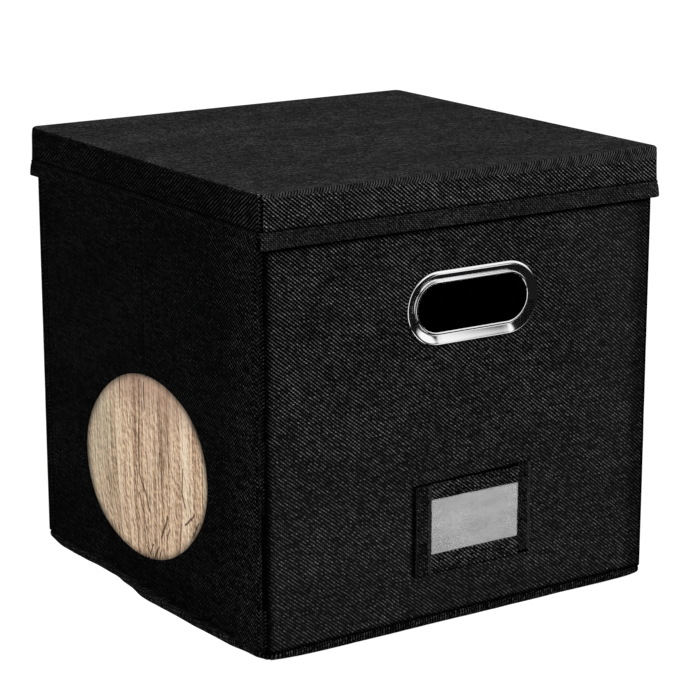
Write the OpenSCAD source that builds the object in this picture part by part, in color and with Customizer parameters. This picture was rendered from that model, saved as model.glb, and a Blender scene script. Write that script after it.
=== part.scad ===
// Fold-flat storage case for records: cloth-covered board walls, a lift-off skirted lid,
// pressed metal handle frames and a sewn label pocket.
// Origin: on the ground under the middle of the case. +X runs along the front, +Y to the back,
// +Z up. The front wall faces -Y and the side with the oval window faces -X. Millimetres.

/* [Case] */
// Outer width of the walls, along the front
box_w = 344; // [280:1:420]
// Outer depth of the walls, front to back
box_d = 336; // [270:1:410]
// Height of the walls' top edge above the ground
box_h = 334; // [270:1:410]
// Radius of the walls' upright front and back corners
wall_corner_r = 3; // [1:0.5:4]
// Radius of the floor's four corners, seen from above
floor_corner_r = 8; // [5.5:0.5:20]

/* [Layers] */
// Thickness of the outer cloth
cover_t = 0.9; // [0.6:0.1:1.5]
// Thickness of the wooden wall board
board_t = 3; // [2:0.5:5]
// Thickness of the inner lining
lining_t = 0.5; // [0.3:0.1:1]
// Depth to which the outer cloth turns in over the walls' top edge
turn_in = 14; // [8:1:30]

/* [Floor] */
// Thickness of the cloth floor
floor_t = 1.2; // [0.8:0.1:2]
// Height of the rolled seam round the floor
hem_h = 6.5; // [5:0.5:10]
// Open groove between the rolled seam and the walls
hem_gap = 0.5; // [0.4:0.1:1.5]
// Radius of the rolled seam's round outer edges
hem_r = 1.8; // [1:0.1:2]

/* [Base panel] */
// Thickness of the base panel's board
base_board_t = 3; // [2:0.5:4]
// Thickness of the cloth wrapped round the base panel
base_wrap_t = 0.5; // [0.3:0.1:0.8]
// Clearance at the base panel's sides and front
base_clear = 1.6; // [1:0.1:4]
// Clearance between the cloth floor and the base panel
base_lift = 0.3; // [0.2:0.05:0.6]
// Distance from the back wall's inner face to the base panel's hinge
base_hinge_off = 3; // [2.8:0.1:4]
// Width of the cloth turned in under the base panel
base_turn_in = 24; // [10:1:60]
// Width of the ribbon tab on the base panel
tab_w = 22; // [15:1:40]
// Length of the ribbon tab that shows
tab_len = 30; // [15:1:60]
// Thickness of the folded ribbon tab
tab_t = 0.9; // [0.5:0.1:0.9]
// Distance of the ribbon tab from the base panel's front edge
tab_inset = 6; // [3:1:20]

/* [Folding] */
// Width of the sewn corner seam between an inner wall face and the fold beside it
seam_w = 8.5; // [8.3:0.1:12]
// Clearance on each side of a fold line
fold_gap = 0.4; // [0.3:0.1:1]
// Distance of the middle crease's axis outside the side wall
crease_off = 0.5; // [0.4:0.1:1]
// Radius of the ridge along a corner seam's edge
ridge_r = 1; // [0.5:0.1:1.5]
// Height that the ridge stands out of the wall
ridge_h = 0.35; // [0.1:0.05:0.4]

/* [Oval window] */
// Length of the oval window in the side cloth
window_w = 190; // [120:1:240]
// Height of the oval window
window_h = 145; // [100:1:180]
// Radius of the oval's two ends
window_end_r = 60; // [40:1:70]
// Place of the window's centre towards the back
window_y = 4; // [-30:1:30]
// Height of the window's centre above the ground
window_z = 102; // [95:1:180]
// Tilt of the oval, front end up
window_tilt = 13; // [0:1:20]

/* [Handle] */
// Length of the hand opening
slot_w = 97; // [80:1:120]
// Height of the hand opening
slot_h = 35.2; // [28:0.1:45]
// Width of the metal frame round the opening
frame_w = 9.6; // [7:0.1:14]
// Height that the frame stands out of the cloth
frame_rise = 3.2; // [2:0.1:4]
// Thickness of the pressed metal
metal_t = 0.8; // [0.5:0.1:1]
// Radius of the frame's rolled outer rim
rim_r = 1.4; // [1:0.1:1.8]
// Radius of the bead along the frame's inner lip
bead_r = 1.15; // [0.9:0.05:1.4]
// Clearance of the metal collar in the wall's slot
collar_clear = 0.4; // [0.2:0.1:1]
// Width of the ring inside the wall
back_ring_w = 8; // [5:0.5:12]
// Thickness of the ring inside the wall
back_ring_t = 1.2; // [0.8:0.1:1.4]
// Width of a prong that is bent over the ring
prong_w = 7; // [4:0.5:10]
// Thickness of a prong
prong_t = 0.6; // [0.4:0.1:0.8]
// Distance by which a prong reaches over the ring
prong_reach = 4.6; // [3:0.1:6]
// Place of the handle towards the front's right
handle_x = 5; // [-20:1:20]
// Height of the handle's centre above the ground
handle_z = 240; // [180:1:280]

/* [Label pocket] */
// Width of the clear opening in the label pocket
pane_w = 79; // [60:1:110]
// Height of the clear opening
pane_h = 42; // [30:1:70]
// Place of the pane's centre towards the front's right
pane_x = 9; // [-30:1:30]
// Height of the pane's centre above the ground
pane_z = 76.5; // [60:0.5:120]
// Width of the left binding strip
strip_left_w = 13; // [8:1:16]
// Width of the right binding strip
strip_right_w = 11; // [8:1:16]
// Width of the upper binding strip
strip_top_w = 12; // [8:1:16]
// Width of the lower binding strip
strip_bottom_w = 14; // [8:1:16]
// Distance by which the side strips are sewn on out of line
strip_stagger = 2; // [0:0.5:3]
// Thickness of a binding strip over the clear pane
strip_t = 0.7; // [0.4:0.1:1]
// Thickness of the clear pane
pane_t = 0.4; // [0.3:0.1:0.6]
// Thickness of the label card
card_t = 0.5; // [0.3:0.1:0.8]
// Clearance before, behind and beside the card
card_clear = 0.3; // [0.25:0.05:0.5]
// Depth of the card and pane under each strip
card_lap = 4; // [2:0.5:5]

/* [Lid] */
// Overall height of the lid
lid_h = 38.3; // [25:0.1:60]
// Clearance between the lid's skirt and the walls
lid_clear = 0.7; // [0.5:0.1:2]
// Clearance between the walls' top edge and the lid's lining
lid_rest = 0.4; // [0.3:0.1:1]
// Thickness of the lid's top board
lid_board_t = 2.2; // [1.5:0.1:4]
// Thickness of the skirt's boards
skirt_board_t = 1.5; // [1:0.1:3]
// Thickness of the lid's lining
lid_lining_t = 0.4; // [0.3:0.1:0.8]
// Radius of the lid's upright corners
lid_corner_r = 6.5; // [5:0.5:9]
// Radius of the lid's upper edge
lid_edge_r = 2; // [1:0.1:2.4]
// Height of the binding round the skirt's lower edge
binding_h = 12; // [8:0.5:16]
// Thickness of the binding
binding_t = 0.9; // [0.5:0.1:1.2]

/* [Hidden] */
$fn = 96;
eps = 0.01;
wall_t = cover_t + board_t + lining_t;
wall_z0 = hem_h + hem_gap;
wall_h = box_h - wall_z0;
// cloth left beyond the ends of a wide wall's board, and beyond a half panel's end at the corner
end_t = 3;
half_end_t = 1.2;
// the side panels' hinges and lengths
hinge_x = box_w / 2 - wall_t;
hinge_y = box_d / 2 - wall_t - seam_w;
half_w = hinge_y - 2 * fold_gap;
inner_w = box_w - 2 * wall_t;
inner_d = box_d - 2 * wall_t;
// base panel
base_t = base_board_t + 2 * base_wrap_t;
base_z0 = floor_t + base_lift;
base_top = base_z0 + base_t;
base_y1 = box_d / 2 - wall_t - base_hinge_off;
base_y0 = -box_d / 2 + wall_t + base_clear;
base_w = inner_w - 2 * base_clear;
base_d = base_y1 - base_y0;
base_r = floor_corner_r - wall_t;
tape_t = 0.6;
// handle
slot_r = slot_h / 2;
slot_run = slot_w - slot_h;
collar_r = slot_r + metal_t;
frame_r = slot_r + frame_w;
ring_clear = 0.1;
// angle round the rim at which the dish meets it
shoulder = 120;
// place of the outer prongs as a share of the opening's straight length
prong_place = 0.42;
// label pocket, distances out of the front cloth
card_y = card_clear;
pane_y = card_y + card_t + card_clear;
strip_y = pane_y + pane_t;
strip_out = strip_y + strip_t;
pane_x0 = pane_x - pane_w / 2;
pane_x1 = pane_x + pane_w / 2;
pane_z0 = pane_z - pane_h / 2;
pane_z1 = pane_z + pane_h / 2;
pocket_z1 = pane_z1 + strip_top_w;
card_head = 1.5;
strip_corner_r = 1.5;
// lid
lid_top = box_h + lid_rest + lid_lining_t + lid_board_t + cover_t;
lid_z0 = lid_top - lid_h;
lid_in_w = box_w + 2 * lid_clear;
lid_in_d = box_d + 2 * lid_clear;
skirt_t = lid_lining_t + skirt_board_t + cover_t;
ceiling_z = box_h + lid_rest;
// cloth left beyond each end of a skirt board, and height of the binding's inner fold
skirt_end = 2;
binding_return_h = binding_h * 0.6;

// ---- helpers ----------------------------------------------------------------------------

// flat outline with four round corners, centred
module round_plan(w, d, r) {
  square([w - 2 * r, d], center = true);
  square([w, d - 2 * r], center = true);
  for (sx = [-1, 1], sy = [-1, 1])
    translate([sx * (w / 2 - r), sy * (d / 2 - r)]) circle(r);
}

// block between two heights, centred in plan
module block(w, d, z0, z1) {
  translate([-w / 2, -d / 2, z0]) cube([w, d, z1 - z0]);
}

// places a wall drawn with its outer face at y = 0, facing -Y, on one side of the case
module on_front() { translate([0, -box_d / 2, 0]) children(); }
module on_back() { translate([0, box_d / 2, 0]) rotate([0, 0, 180]) children(); }
module on_left() { translate([-box_w / 2, 0, 0]) rotate([0, 0, -90]) children(); }
module on_right() { translate([box_w / 2, 0, 0]) rotate([0, 0, 90]) children(); }

// long hole with round ends, through a wall that faces -Y
module slot_through(r, x, y0, y1) {
  translate([x, y0, handle_z]) rotate([-90, 0, 0]) linear_extrude(y1 - y0) {
    square([slot_run, 2 * r], center = true);
    for (s = [-1, 1]) translate([s * slot_run / 2, 0]) circle(r);
  }
}

// ring that follows the hand opening; the profile lies right of x = 0, outwards is +Y
module slot_sweep() {
  rotate([90, 0, 0]) {
    for (s = [-1, 1])
      translate([s * slot_run / 2, 0, 0]) rotate([0, 0, -90 * s])
        rotate_extrude(angle = 180) children();
    for (a = [0, 180])
      rotate([0, 0, a]) translate([-slot_run / 2, 0, 0])
        rotate([90, 0, 90]) linear_extrude(slot_run) children();
  }
}

// oval made of four arcs, long axis along x
module oval(w, h, end_r) {
  a = w / 2;
  b = h / 2;
  side_r = (pow(a - end_r, 2) + b * b - end_r * end_r) / (2 * (b - end_r));
  join_x = (a - end_r) * side_r / (side_r - end_r);
  intersection() {
    translate([0, b - side_r]) circle(side_r, $fn = 192);
    translate([0, side_r - b]) circle(side_r, $fn = 192);
    square([2 * join_x, h], center = true);
  }
  for (s = [-1, 1]) translate([s * (a - end_r), 0]) circle(end_r);
}

// ---- wall layers, drawn with the outer face at y = 0 ------------------------------------

module board_slab(x0, x1) {
  translate([x0, cover_t, wall_z0 + cover_t]) cube([x1 - x0, board_t, wall_h - 2 * cover_t]);
}

module lining_slab(x0, x1) {
  translate([x0, cover_t + board_t, wall_z0 + cover_t])
    cube([x1 - x0, lining_t, wall_h - cover_t - turn_in]);
}

module wide_board() { board_slab(end_t - box_w / 2, box_w / 2 - end_t); }
module wide_lining() { lining_slab(end_t - box_w / 2, box_w / 2 - end_t); }

// cloth round the front or back wall, with round upright corners
module wide_cover() {
  r = wall_corner_r;
  difference() {
    translate([0, 0, wall_z0]) linear_extrude(wall_h) intersection() {
      translate([0, box_d / 2]) round_plan(box_w, box_d, r);
      translate([-box_w / 2, 0]) square([box_w, wall_t]);
    }
    wide_board();
    wide_lining();
  }
}

// folded cloth layers sewn together at one end of the front or back wall
module corner_seam(side) {
  seam_len = seam_w - fold_gap;
  translate([side * (box_w / 2 - wall_t / 2), wall_t, wall_z0]) {
    translate([-wall_t / 2, 0, 0]) cube([wall_t, seam_len, wall_h]);
    // the ridge of the folded edge that shows on the side of the case
    intersection() {
      translate([side * (wall_t / 2 + ridge_h - ridge_r), seam_len - ridge_r, 0])
        cylinder(r = ridge_r, h = wall_h, $fn = 32);
      translate([-wall_t, 0, 0]) cube([2 * wall_t, seam_len, wall_h]);
    }
  }
}

module wall_slot(x) { slot_through(collar_r + collar_clear, x, -1, wall_t + 1); }

// ---- handle -----------------------------------------------------------------------------

// section of the pressed frame: a rolled rim, a dished flange, a bead at the lip and a collar
module frame_section() {
  dish_x = slot_r + 2 * bead_r;
  rim_x = frame_r - rim_r;
  rim_y = frame_rise - rim_r;
  // the dish is an arc that leaves the bead flat and ends on the rim's inner shoulder
  dish_run = rim_x + rim_r * cos(shoulder) - dish_x;
  dish_rise = rim_y + rim_r * sin(shoulder) - metal_t;
  dish_r = (dish_run * dish_run + dish_rise * dish_rise) / (2 * dish_rise);
  difference() {
    union() {
      translate([slot_r, 0]) square([frame_r - slot_r, rim_y]);
      translate([rim_x, rim_y]) circle(rim_r, $fn = 64);
    }
    translate([dish_x, metal_t + dish_r]) circle(dish_r);
    // hollow back of the pressed metal
    polygon([[dish_x + rim_r, -eps], [frame_r - metal_t, -eps], [frame_r - metal_t, rim_y],
             [rim_x + metal_t - rim_r, rim_y]]);
  }
  difference() {
    translate([slot_r + bead_r, bead_r]) circle(bead_r, $fn = 48);
    translate([slot_r, 0]) mirror([0, 1]) square([3 * bead_r, bead_r]);
  }
  translate([slot_r, -wall_t - back_ring_t]) square([metal_t, wall_t + back_ring_t + bead_r]);
}

module handle_frame(x) {
  color("silver") {
    translate([x, 0, handle_z]) slot_sweep() frame_section();
    // prongs bent over the ring on the inside
    for (px = [-1, 0, 1], up = [0, 1])
      translate([x + px * slot_run * prong_place - prong_w / 2, wall_t + back_ring_t, handle_z])
        mirror([0, 0, 1 - up]) translate([0, 0, slot_r])
          cube([prong_w, prong_t, metal_t + prong_reach]);
  }
}

module handle_ring(x) {
  color("silver") translate([x, 0, handle_z]) slot_sweep()
    translate([collar_r + ring_clear, -wall_t - back_ring_t]) square([back_ring_w, back_ring_t]);
}

// ---- back wall and floor ----------------------------------------------------------------

// section of the rolled seam: x from the inner edge outwards, y up
module hem_section() {
  r = hem_r;
  translate([0, floor_t]) square([wall_t - r, hem_h - floor_t]);
  translate([0, 0]) square([wall_t - r, floor_t + eps]);
  translate([0, r]) square([wall_t, hem_h - 2 * r]);
  for (z = [r, hem_h - r]) translate([wall_t - r, z]) circle(r, $fn = 48);
}

module floor_cover() {
  r = floor_corner_r;
  color("dimgray") {
    linear_extrude(floor_t) round_plan(box_w - 2 * wall_t + 1, box_d - 2 * wall_t + 1, r - wall_t);
    for (sx = [-1, 1]) {
      translate([sx * (box_w / 2 - wall_t), -sx * (box_d / 2 - r), 0])
        rotate([90, 0, sx > 0 ? 0 : 180]) mirror([0, 0, 1])
          linear_extrude(box_d - 2 * r) hem_section();
      translate([sx * (box_w / 2 - r), sx * (box_d / 2 - wall_t), 0])
        rotate([90, 0, sx * 90]) mirror([0, 0, 1])
          linear_extrude(box_w - 2 * r) hem_section();
    }
    for (sx = [-1, 1], sy = [-1, 1])
      translate([sx * (box_w / 2 - r), sy * (box_d / 2 - r), 0])
        rotate([0, 0, atan2(sy, sx) - 45]) rotate_extrude(angle = 90)
          translate([r - wall_t, 0]) hem_section();
  }
}

module base_hinge_tape() {
  tape_w = box_w - 2 * floor_corner_r - 2 * base_r;
  color("black")
    translate([-tape_w / 2, base_y1 + fold_gap, base_top - tape_t])
      cube([tape_w, base_hinge_off - fold_gap, tape_t]);
}

module back_board() {
  color("burlywood") on_back() difference() {
    wide_board();
    wall_slot(-handle_x);
  }
}

module back_cover() {
  color("#1b1b1b") on_back() difference() {
    wide_cover();
    wall_slot(-handle_x);
  }
}

module back_lining() {
  color("#101010") on_back() difference() {
    wide_lining();
    wall_slot(-handle_x);
  }
}

module back_left_seam() { color("#1b1b1b") on_back() corner_seam(1); }
module back_right_seam() { color("#1b1b1b") on_back() corner_seam(-1); }
module back_handle_frame() { on_back() handle_frame(-handle_x); }
module back_handle_ring() { on_back() handle_ring(-handle_x); }

// ---- base panel -------------------------------------------------------------------------

// flat shape of the base panel, drawn in by the same distance all round
module base_shape(inset) {
  translate([0, (base_y0 + base_y1) / 2])
    round_plan(base_w - 2 * inset, base_d - 2 * inset, base_r - min(inset, base_r - 1));
}

module base_board() {
  color("burlywood")
    translate([0, 0, base_z0 + base_wrap_t])
      linear_extrude(base_board_t) base_shape(base_wrap_t);
}

module base_wrap() {
  color("#101010") difference() {
    translate([0, 0, base_z0]) linear_extrude(base_t) base_shape(0);
    base_board();
    translate([0, 0, base_z0 - 1])
      linear_extrude(base_wrap_t + 1 + eps) base_shape(base_turn_in);
  }
}

module base_pull_tab() {
  color("black") translate([0, base_y0 + tab_inset, base_top]) linear_extrude(tab_t) {
    translate([-tab_w / 2, 0]) square([tab_w, tab_len - tab_w / 2]);
    translate([0, tab_len - tab_w / 2]) circle(tab_w / 2);
  }
}

// ---- side panels ------------------------------------------------------------------------

// One half of a side wall, drawn along x from the middle crease; dir is the way it runs, 1 or -1.
// The boards of two halves meet at the crease, and the cloth closes only the end at the corner.
module toward(dir) { mirror([dir < 0 ? 1 : 0, 0, 0]) children(); }

module half_board(dir) {
  color("burlywood") toward(dir) board_slab(fold_gap, fold_gap + half_w - half_end_t);
}

module half_lining(dir) {
  color("#101010") toward(dir) lining_slab(fold_gap, fold_gap + half_w - half_end_t);
}

module half_cover(dir) {
  color("#1b1b1b") difference() {
    toward(dir) translate([fold_gap, 0, wall_z0]) cube([half_w, wall_t, wall_h]);
    half_board(dir);
    half_lining(dir);
  }
}

// oval cut through the left side's cloth; along this wall, x runs towards the front
module window_cut() {
  translate([-window_y, -1, window_z]) rotate([-90, 0, 0])
    linear_extrude(1 + cover_t) rotate(-window_tilt) oval(window_w, window_h, window_end_r);
}

module left_back_board() { on_left() half_board(-1); }
module left_back_cover() { on_left() difference() { half_cover(-1); window_cut(); } }
module left_back_lining() { on_left() half_lining(-1); }
module left_front_board() { on_left() half_board(1); }
module left_front_cover() { on_left() difference() { half_cover(1); window_cut(); } }
module left_front_lining() { on_left() half_lining(1); }
module right_back_board() { on_right() half_board(1); }
module right_back_cover() { on_right() half_cover(1); }
module right_back_lining() { on_right() half_lining(1); }
module right_front_board() { on_right() half_board(-1); }
module right_front_cover() { on_right() half_cover(-1); }
module right_front_lining() { on_right() half_lining(-1); }

// ---- front wall -------------------------------------------------------------------------

module front_board() {
  color("burlywood") on_front() difference() {
    wide_board();
    wall_slot(handle_x);
  }
}

module front_cover() {
  color("#1b1b1b") on_front() difference() {
    wide_cover();
    wall_slot(handle_x);
  }
}

module front_lining() {
  color("#101010") on_front() difference() {
    wide_lining();
    wall_slot(handle_x);
  }
}

module front_left_seam() { color("#1b1b1b") on_front() corner_seam(-1); }
module front_right_seam() { color("#1b1b1b") on_front() corner_seam(1); }
module front_handle_frame() { on_front() handle_frame(handle_x); }
module front_handle_ring() { on_front() handle_ring(handle_x); }

// ---- label pocket -----------------------------------------------------------------------

// space kept free for the card, open at the top
module card_space() {
  translate([pane_x0 - card_lap - card_clear, -pane_y, pane_z0 - card_lap - card_clear])
    cube([pane_w + 2 * (card_lap + card_clear), pane_y, pane_h + 4 * strip_top_w]);
}

module pane_sheet() {
  translate([pane_x0 - card_lap, -strip_y, pane_z0 - card_lap])
    cube([pane_w + 2 * card_lap, pane_t, pocket_z1 - pane_z0 + card_lap]);
}

// one binding strip between two heights, with a soft outer corner radius
module binding_strip(x0, x1, z0, z1, y0) {
  translate([(x0 + x1) / 2, -y0, (z0 + z1) / 2]) rotate([90, 0, 0])
    linear_extrude(strip_out - y0) round_plan(x1 - x0, z1 - z0, strip_corner_r);
}

module side_strip(x0, x1, shift) {
  color("#202020") on_front() difference() {
    binding_strip(x0, x1, pane_z0 - strip_bottom_w + shift, pocket_z1 + shift, 0);
    card_space();
    pane_sheet();
  }
}

module label_strip_left() { side_strip(pane_x0 - strip_left_w, pane_x0, -strip_stagger / 2); }
module label_strip_right() { side_strip(pane_x1, pane_x1 + strip_right_w, strip_stagger); }

module label_strip_top() {
  color("#202020") on_front()
    translate([pane_x0, -strip_out, pane_z1]) cube([pane_w, strip_t, strip_top_w]);
}

module label_strip_bottom() {
  color("#202020") on_front() difference() {
    translate([pane_x0, -strip_out, pane_z0 - strip_bottom_w])
      cube([pane_w, strip_out, strip_bottom_w]);
    card_space();
    pane_sheet();
  }
}

module label_pane() { color("lightgray", 0.4) on_front() pane_sheet(); }

module label_card() {
  color("#b4b4b4") on_front()
    translate([pane_x0 - card_lap, -card_y - card_t, pane_z0 - card_lap])
      cube([pane_w + 2 * card_lap, card_t, pocket_z1 - card_head - pane_z0 + card_lap]);
}

// ---- lid --------------------------------------------------------------------------------

// solid with round upright corners and a round upper edge
module soft_block(w, d, z0, z1, r, edge) {
  translate([0, 0, z0]) linear_extrude(z1 - edge - z0) round_plan(w, d, r);
  translate([0, 0, z0]) linear_extrude(z1 - z0)
    round_plan(w - 2 * edge, d - 2 * edge, r - edge);
  for (s = [-1, 1]) {
    translate([s * (w / 2 - edge), 0, z1 - edge]) rotate([90, 0, 0])
      cylinder(r = edge, h = d - 2 * r, center = true);
    translate([0, s * (d / 2 - edge), z1 - edge]) rotate([0, 90, 0])
      cylinder(r = edge, h = w - 2 * r, center = true);
  }
  for (sx = [-1, 1], sy = [-1, 1])
    translate([sx * (w / 2 - r), sy * (d / 2 - r), z1 - edge])
      rotate_extrude() translate([r - edge, 0]) intersection() {
        circle(edge);
        translate([0, -edge]) square([edge, 2 * edge]);
      }
}

module lid_board() {
  color("burlywood")
    block(lid_in_w + 2 * lid_lining_t, lid_in_d + 2 * lid_lining_t,
          ceiling_z + lid_lining_t, ceiling_z + lid_lining_t + lid_board_t);
}

// skirt board along a side of the given inner length, outer face towards -Y
module skirt_board(inner_len, across) {
  board_len = inner_len - 2 * skirt_end;
  color("burlywood")
    translate([-board_len / 2, -across / 2 - lid_lining_t - skirt_board_t, lid_z0 + binding_t])
      cube([board_len, skirt_board_t, ceiling_z + lid_lining_t - lid_z0 - binding_t]);
}

module lid_skirt_board_front() { skirt_board(lid_in_w, lid_in_d); }
module lid_skirt_board_back() { rotate([0, 0, 180]) skirt_board(lid_in_w, lid_in_d); }
module lid_skirt_board_left() { rotate([0, 0, -90]) skirt_board(lid_in_d, lid_in_w); }
module lid_skirt_board_right() { rotate([0, 0, 90]) skirt_board(lid_in_d, lid_in_w); }

module lid_cover() {
  color("#242424") difference() {
    soft_block(lid_in_w + 2 * skirt_t, lid_in_d + 2 * skirt_t, lid_z0 + binding_t, lid_top,
               lid_corner_r, lid_edge_r);
    block(lid_in_w + 2 * lid_lining_t, lid_in_d + 2 * lid_lining_t, 0,
          ceiling_z + lid_lining_t + lid_board_t);
    lid_skirt_board_front();
    lid_skirt_board_back();
    lid_skirt_board_left();
    lid_skirt_board_right();
  }
}

// cloth strip folded over the skirt's lower edge
module lid_binding() {
  outer_w = lid_in_w + 2 * (skirt_t + binding_t);
  outer_d = lid_in_d + 2 * (skirt_t + binding_t);
  color("#202020") {
    difference() {
      translate([0, 0, lid_z0]) linear_extrude(binding_h)
        round_plan(outer_w, outer_d, lid_corner_r + binding_t);
      translate([0, 0, lid_z0 + binding_t]) linear_extrude(binding_h)
        round_plan(outer_w - 2 * binding_t, outer_d - 2 * binding_t, lid_corner_r);
      block(lid_in_w, lid_in_d, 0, lid_top);
    }
    difference() {
      block(lid_in_w + 2 * lid_lining_t, lid_in_d + 2 * lid_lining_t, lid_z0,
            lid_z0 + binding_return_h);
      block(lid_in_w, lid_in_d, 0, lid_top);
    }
  }
}

module lid_lining() {
  color("#101010") difference() {
    block(lid_in_w + 2 * lid_lining_t, lid_in_d + 2 * lid_lining_t,
          lid_z0 + binding_return_h, ceiling_z + lid_lining_t);
    block(lid_in_w, lid_in_d, 0, ceiling_z);
  }
}

floor_cover();
base_hinge_tape();
back_board();
back_cover();
back_lining();
back_left_seam();
back_right_seam();
back_handle_frame();
back_handle_ring();
base_board();
base_wrap();
base_pull_tab();
left_back_board();
left_back_cover();
left_back_lining();
left_front_board();
left_front_cover();
left_front_lining();
right_back_board();
right_back_cover();
right_back_lining();
right_front_board();
right_front_cover();
right_front_lining();
front_board();
front_cover();
front_lining();
front_left_seam();
front_right_seam();
front_handle_frame();
front_handle_ring();
label_strip_left();
label_strip_right();
label_strip_top();
label_strip_bottom();
label_pane();
label_card();
lid_board();
lid_skirt_board_front();
lid_skirt_board_back();
lid_skirt_board_left();
lid_skirt_board_right();
lid_cover();
lid_binding();
lid_lining();
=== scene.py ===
import math
from contextlib import contextmanager

import bmesh
import bpy
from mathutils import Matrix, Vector, noise


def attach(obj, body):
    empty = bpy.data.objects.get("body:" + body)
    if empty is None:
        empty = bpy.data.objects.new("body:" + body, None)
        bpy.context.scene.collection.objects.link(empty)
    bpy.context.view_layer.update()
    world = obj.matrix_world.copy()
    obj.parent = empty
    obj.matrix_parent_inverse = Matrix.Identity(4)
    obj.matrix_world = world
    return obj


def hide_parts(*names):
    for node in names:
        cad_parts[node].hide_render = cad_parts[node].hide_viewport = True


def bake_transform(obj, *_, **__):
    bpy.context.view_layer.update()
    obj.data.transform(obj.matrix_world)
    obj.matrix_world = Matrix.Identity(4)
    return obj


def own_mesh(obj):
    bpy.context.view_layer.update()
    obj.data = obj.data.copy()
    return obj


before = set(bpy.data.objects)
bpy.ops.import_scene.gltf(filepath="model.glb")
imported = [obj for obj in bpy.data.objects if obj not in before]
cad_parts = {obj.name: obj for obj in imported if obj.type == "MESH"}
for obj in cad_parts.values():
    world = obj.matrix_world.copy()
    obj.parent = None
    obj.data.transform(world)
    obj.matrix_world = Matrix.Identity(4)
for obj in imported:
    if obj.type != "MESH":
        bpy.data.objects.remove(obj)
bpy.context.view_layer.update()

MM = 0.001

# ---- sizes of the case, in metres, as in the CAD model -------------------------------------
BOX_W, BOX_D, BOX_H = 344 * MM, 336 * MM, 334 * MM
COVER_T, BOARD_T, LINING_T = 0.9 * MM, 3 * MM, 0.5 * MM
WALL_T = COVER_T + BOARD_T + LINING_T
WALL_Z0 = 7 * MM
FLOOR_R = 8 * MM
FLOOR_CORNERS = ((1, 1, 5), (-1, 1, 5), (-1, -1, 16), (1, -1, 5))   # which corner, and radius
TURN_IN = 14 * MM
SEAM_LEN = 8.1 * MM
FOLD_GAP = 0.4 * MM
HALF_W = 154.3 * MM
HANDLE_X, HANDLE_Z = 5 * MM, 240 * MM
SLOT_R, SLOT_HALF_RUN = 17.6 * MM, 30.9 * MM
SLOT_PLAY = 1.2 * MM
LABEL_X, LABEL_Z = 9 * MM, 76.5 * MM
LID_W, LID_D, LID_R = 351 * MM, 343 * MM, 6.5 * MM
LID_Z0, LID_TOP = 299.6 * MM, 337.9 * MM
BASE_W, BASE_Y0, BASE_Y1 = 332 * MM, -162.0 * MM, 160.6 * MM
BASE_Z0, BASE_T, BASE_R = 1.5 * MM, 4 * MM, 3.6 * MM
# the oval window: half its length and height, its ends' radius, its middle and its tilt
OVAL_A, OVAL_B, OVAL_END_R = 95 * MM, 72.5 * MM, 60 * MM
OVAL_Y, OVAL_Z, OVAL_TILT = 4 * MM, 102 * MM, math.radians(13)
SIDES = {
    "front": (0, (0, -BOX_D / 2)),
    "back": (math.pi, (0, BOX_D / 2)),
    "left": (-math.pi / 2, (-BOX_W / 2, 0)),
    "right": (math.pi / 2, (BOX_W / 2, 0)),
}

# dark strokes in the bare wood, in mm: (y, z) to (y, z) on the left wall, and width
STROKES = [
    (11, 169, 12.5, 130, 1.1), (12.5, 130, 13, 95, 1.3), (13, 95, 6, 84, 1.2),
    (7, 88, -3, 68, 1.2), (14, 80, 8, 66, 1.0), (8, 67, 3.5, 54, 1.2), (-29, 71, -20.5, 53, 1.4),
    (-31.5, 62, -27.5, 52, 1.0), (2.5, 40, -2.5, 34, 1.0), (-7, 44, -1.5, 34.5, 1.0),
    (-6, 30, -15, 44, 1.2), (-15.5, 34, -19.5, 43, 1.0), (-53, 115, -51.5, 97, 1.1),
    (-51.5, 97, -56, 86, 1.1), (-56, 73, -70, 84, 1.2), (-66, 66, -75, 79, 1.1),
    (-19.5, 118.5, -19.6, 118, 1.4), (-19.5, 112, -19.6, 111.5, 1.1),
    (-17, 158, -18, 128, 0.7), (41, 168, 42, 140, 0.8), (3.5, 168, 3, 148, 0.8),
]


# ---- finishes ------------------------------------------------------------------------------
def feed(tree, socket, term):
    if isinstance(term, Value):
        tree.links.new(term.socket, socket)
    else:
        socket.default_value = term


class Value:
    """A shader socket in a Python sum; each step of the sum adds its Math node."""

    def __init__(self, tree, socket):
        self.tree, self.socket = tree, socket

    def step(self, operation, *terms):
        node = self.tree.nodes.new("ShaderNodeMath")
        node.operation = operation
        for socket, term in zip(node.inputs, terms):
            feed(self.tree, socket, term)
        return Value(self.tree, node.outputs[0])

    def __floor__(self):
        return self.step("FLOOR", self)

    def __abs__(self):
        return self.step("ABSOLUTE", self)

    def least(self, other):
        return self.step("MINIMUM", self, other)

    def most(self, other):
        return self.step("MAXIMUM", self, other)


for word, operation in (("add", "ADD"), ("sub", "SUBTRACT"), ("mul", "MULTIPLY"),
                        ("truediv", "DIVIDE"), ("pow", "POWER"), ("mod", "FLOORED_MODULO")):
    setattr(Value, "__%s__" % word, lambda self, other, step=operation: (
        self.step(step, self, other)))
    setattr(Value, "__r%s__" % word, lambda self, other, step=operation: (
        self.step(step, other, self)))


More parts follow.
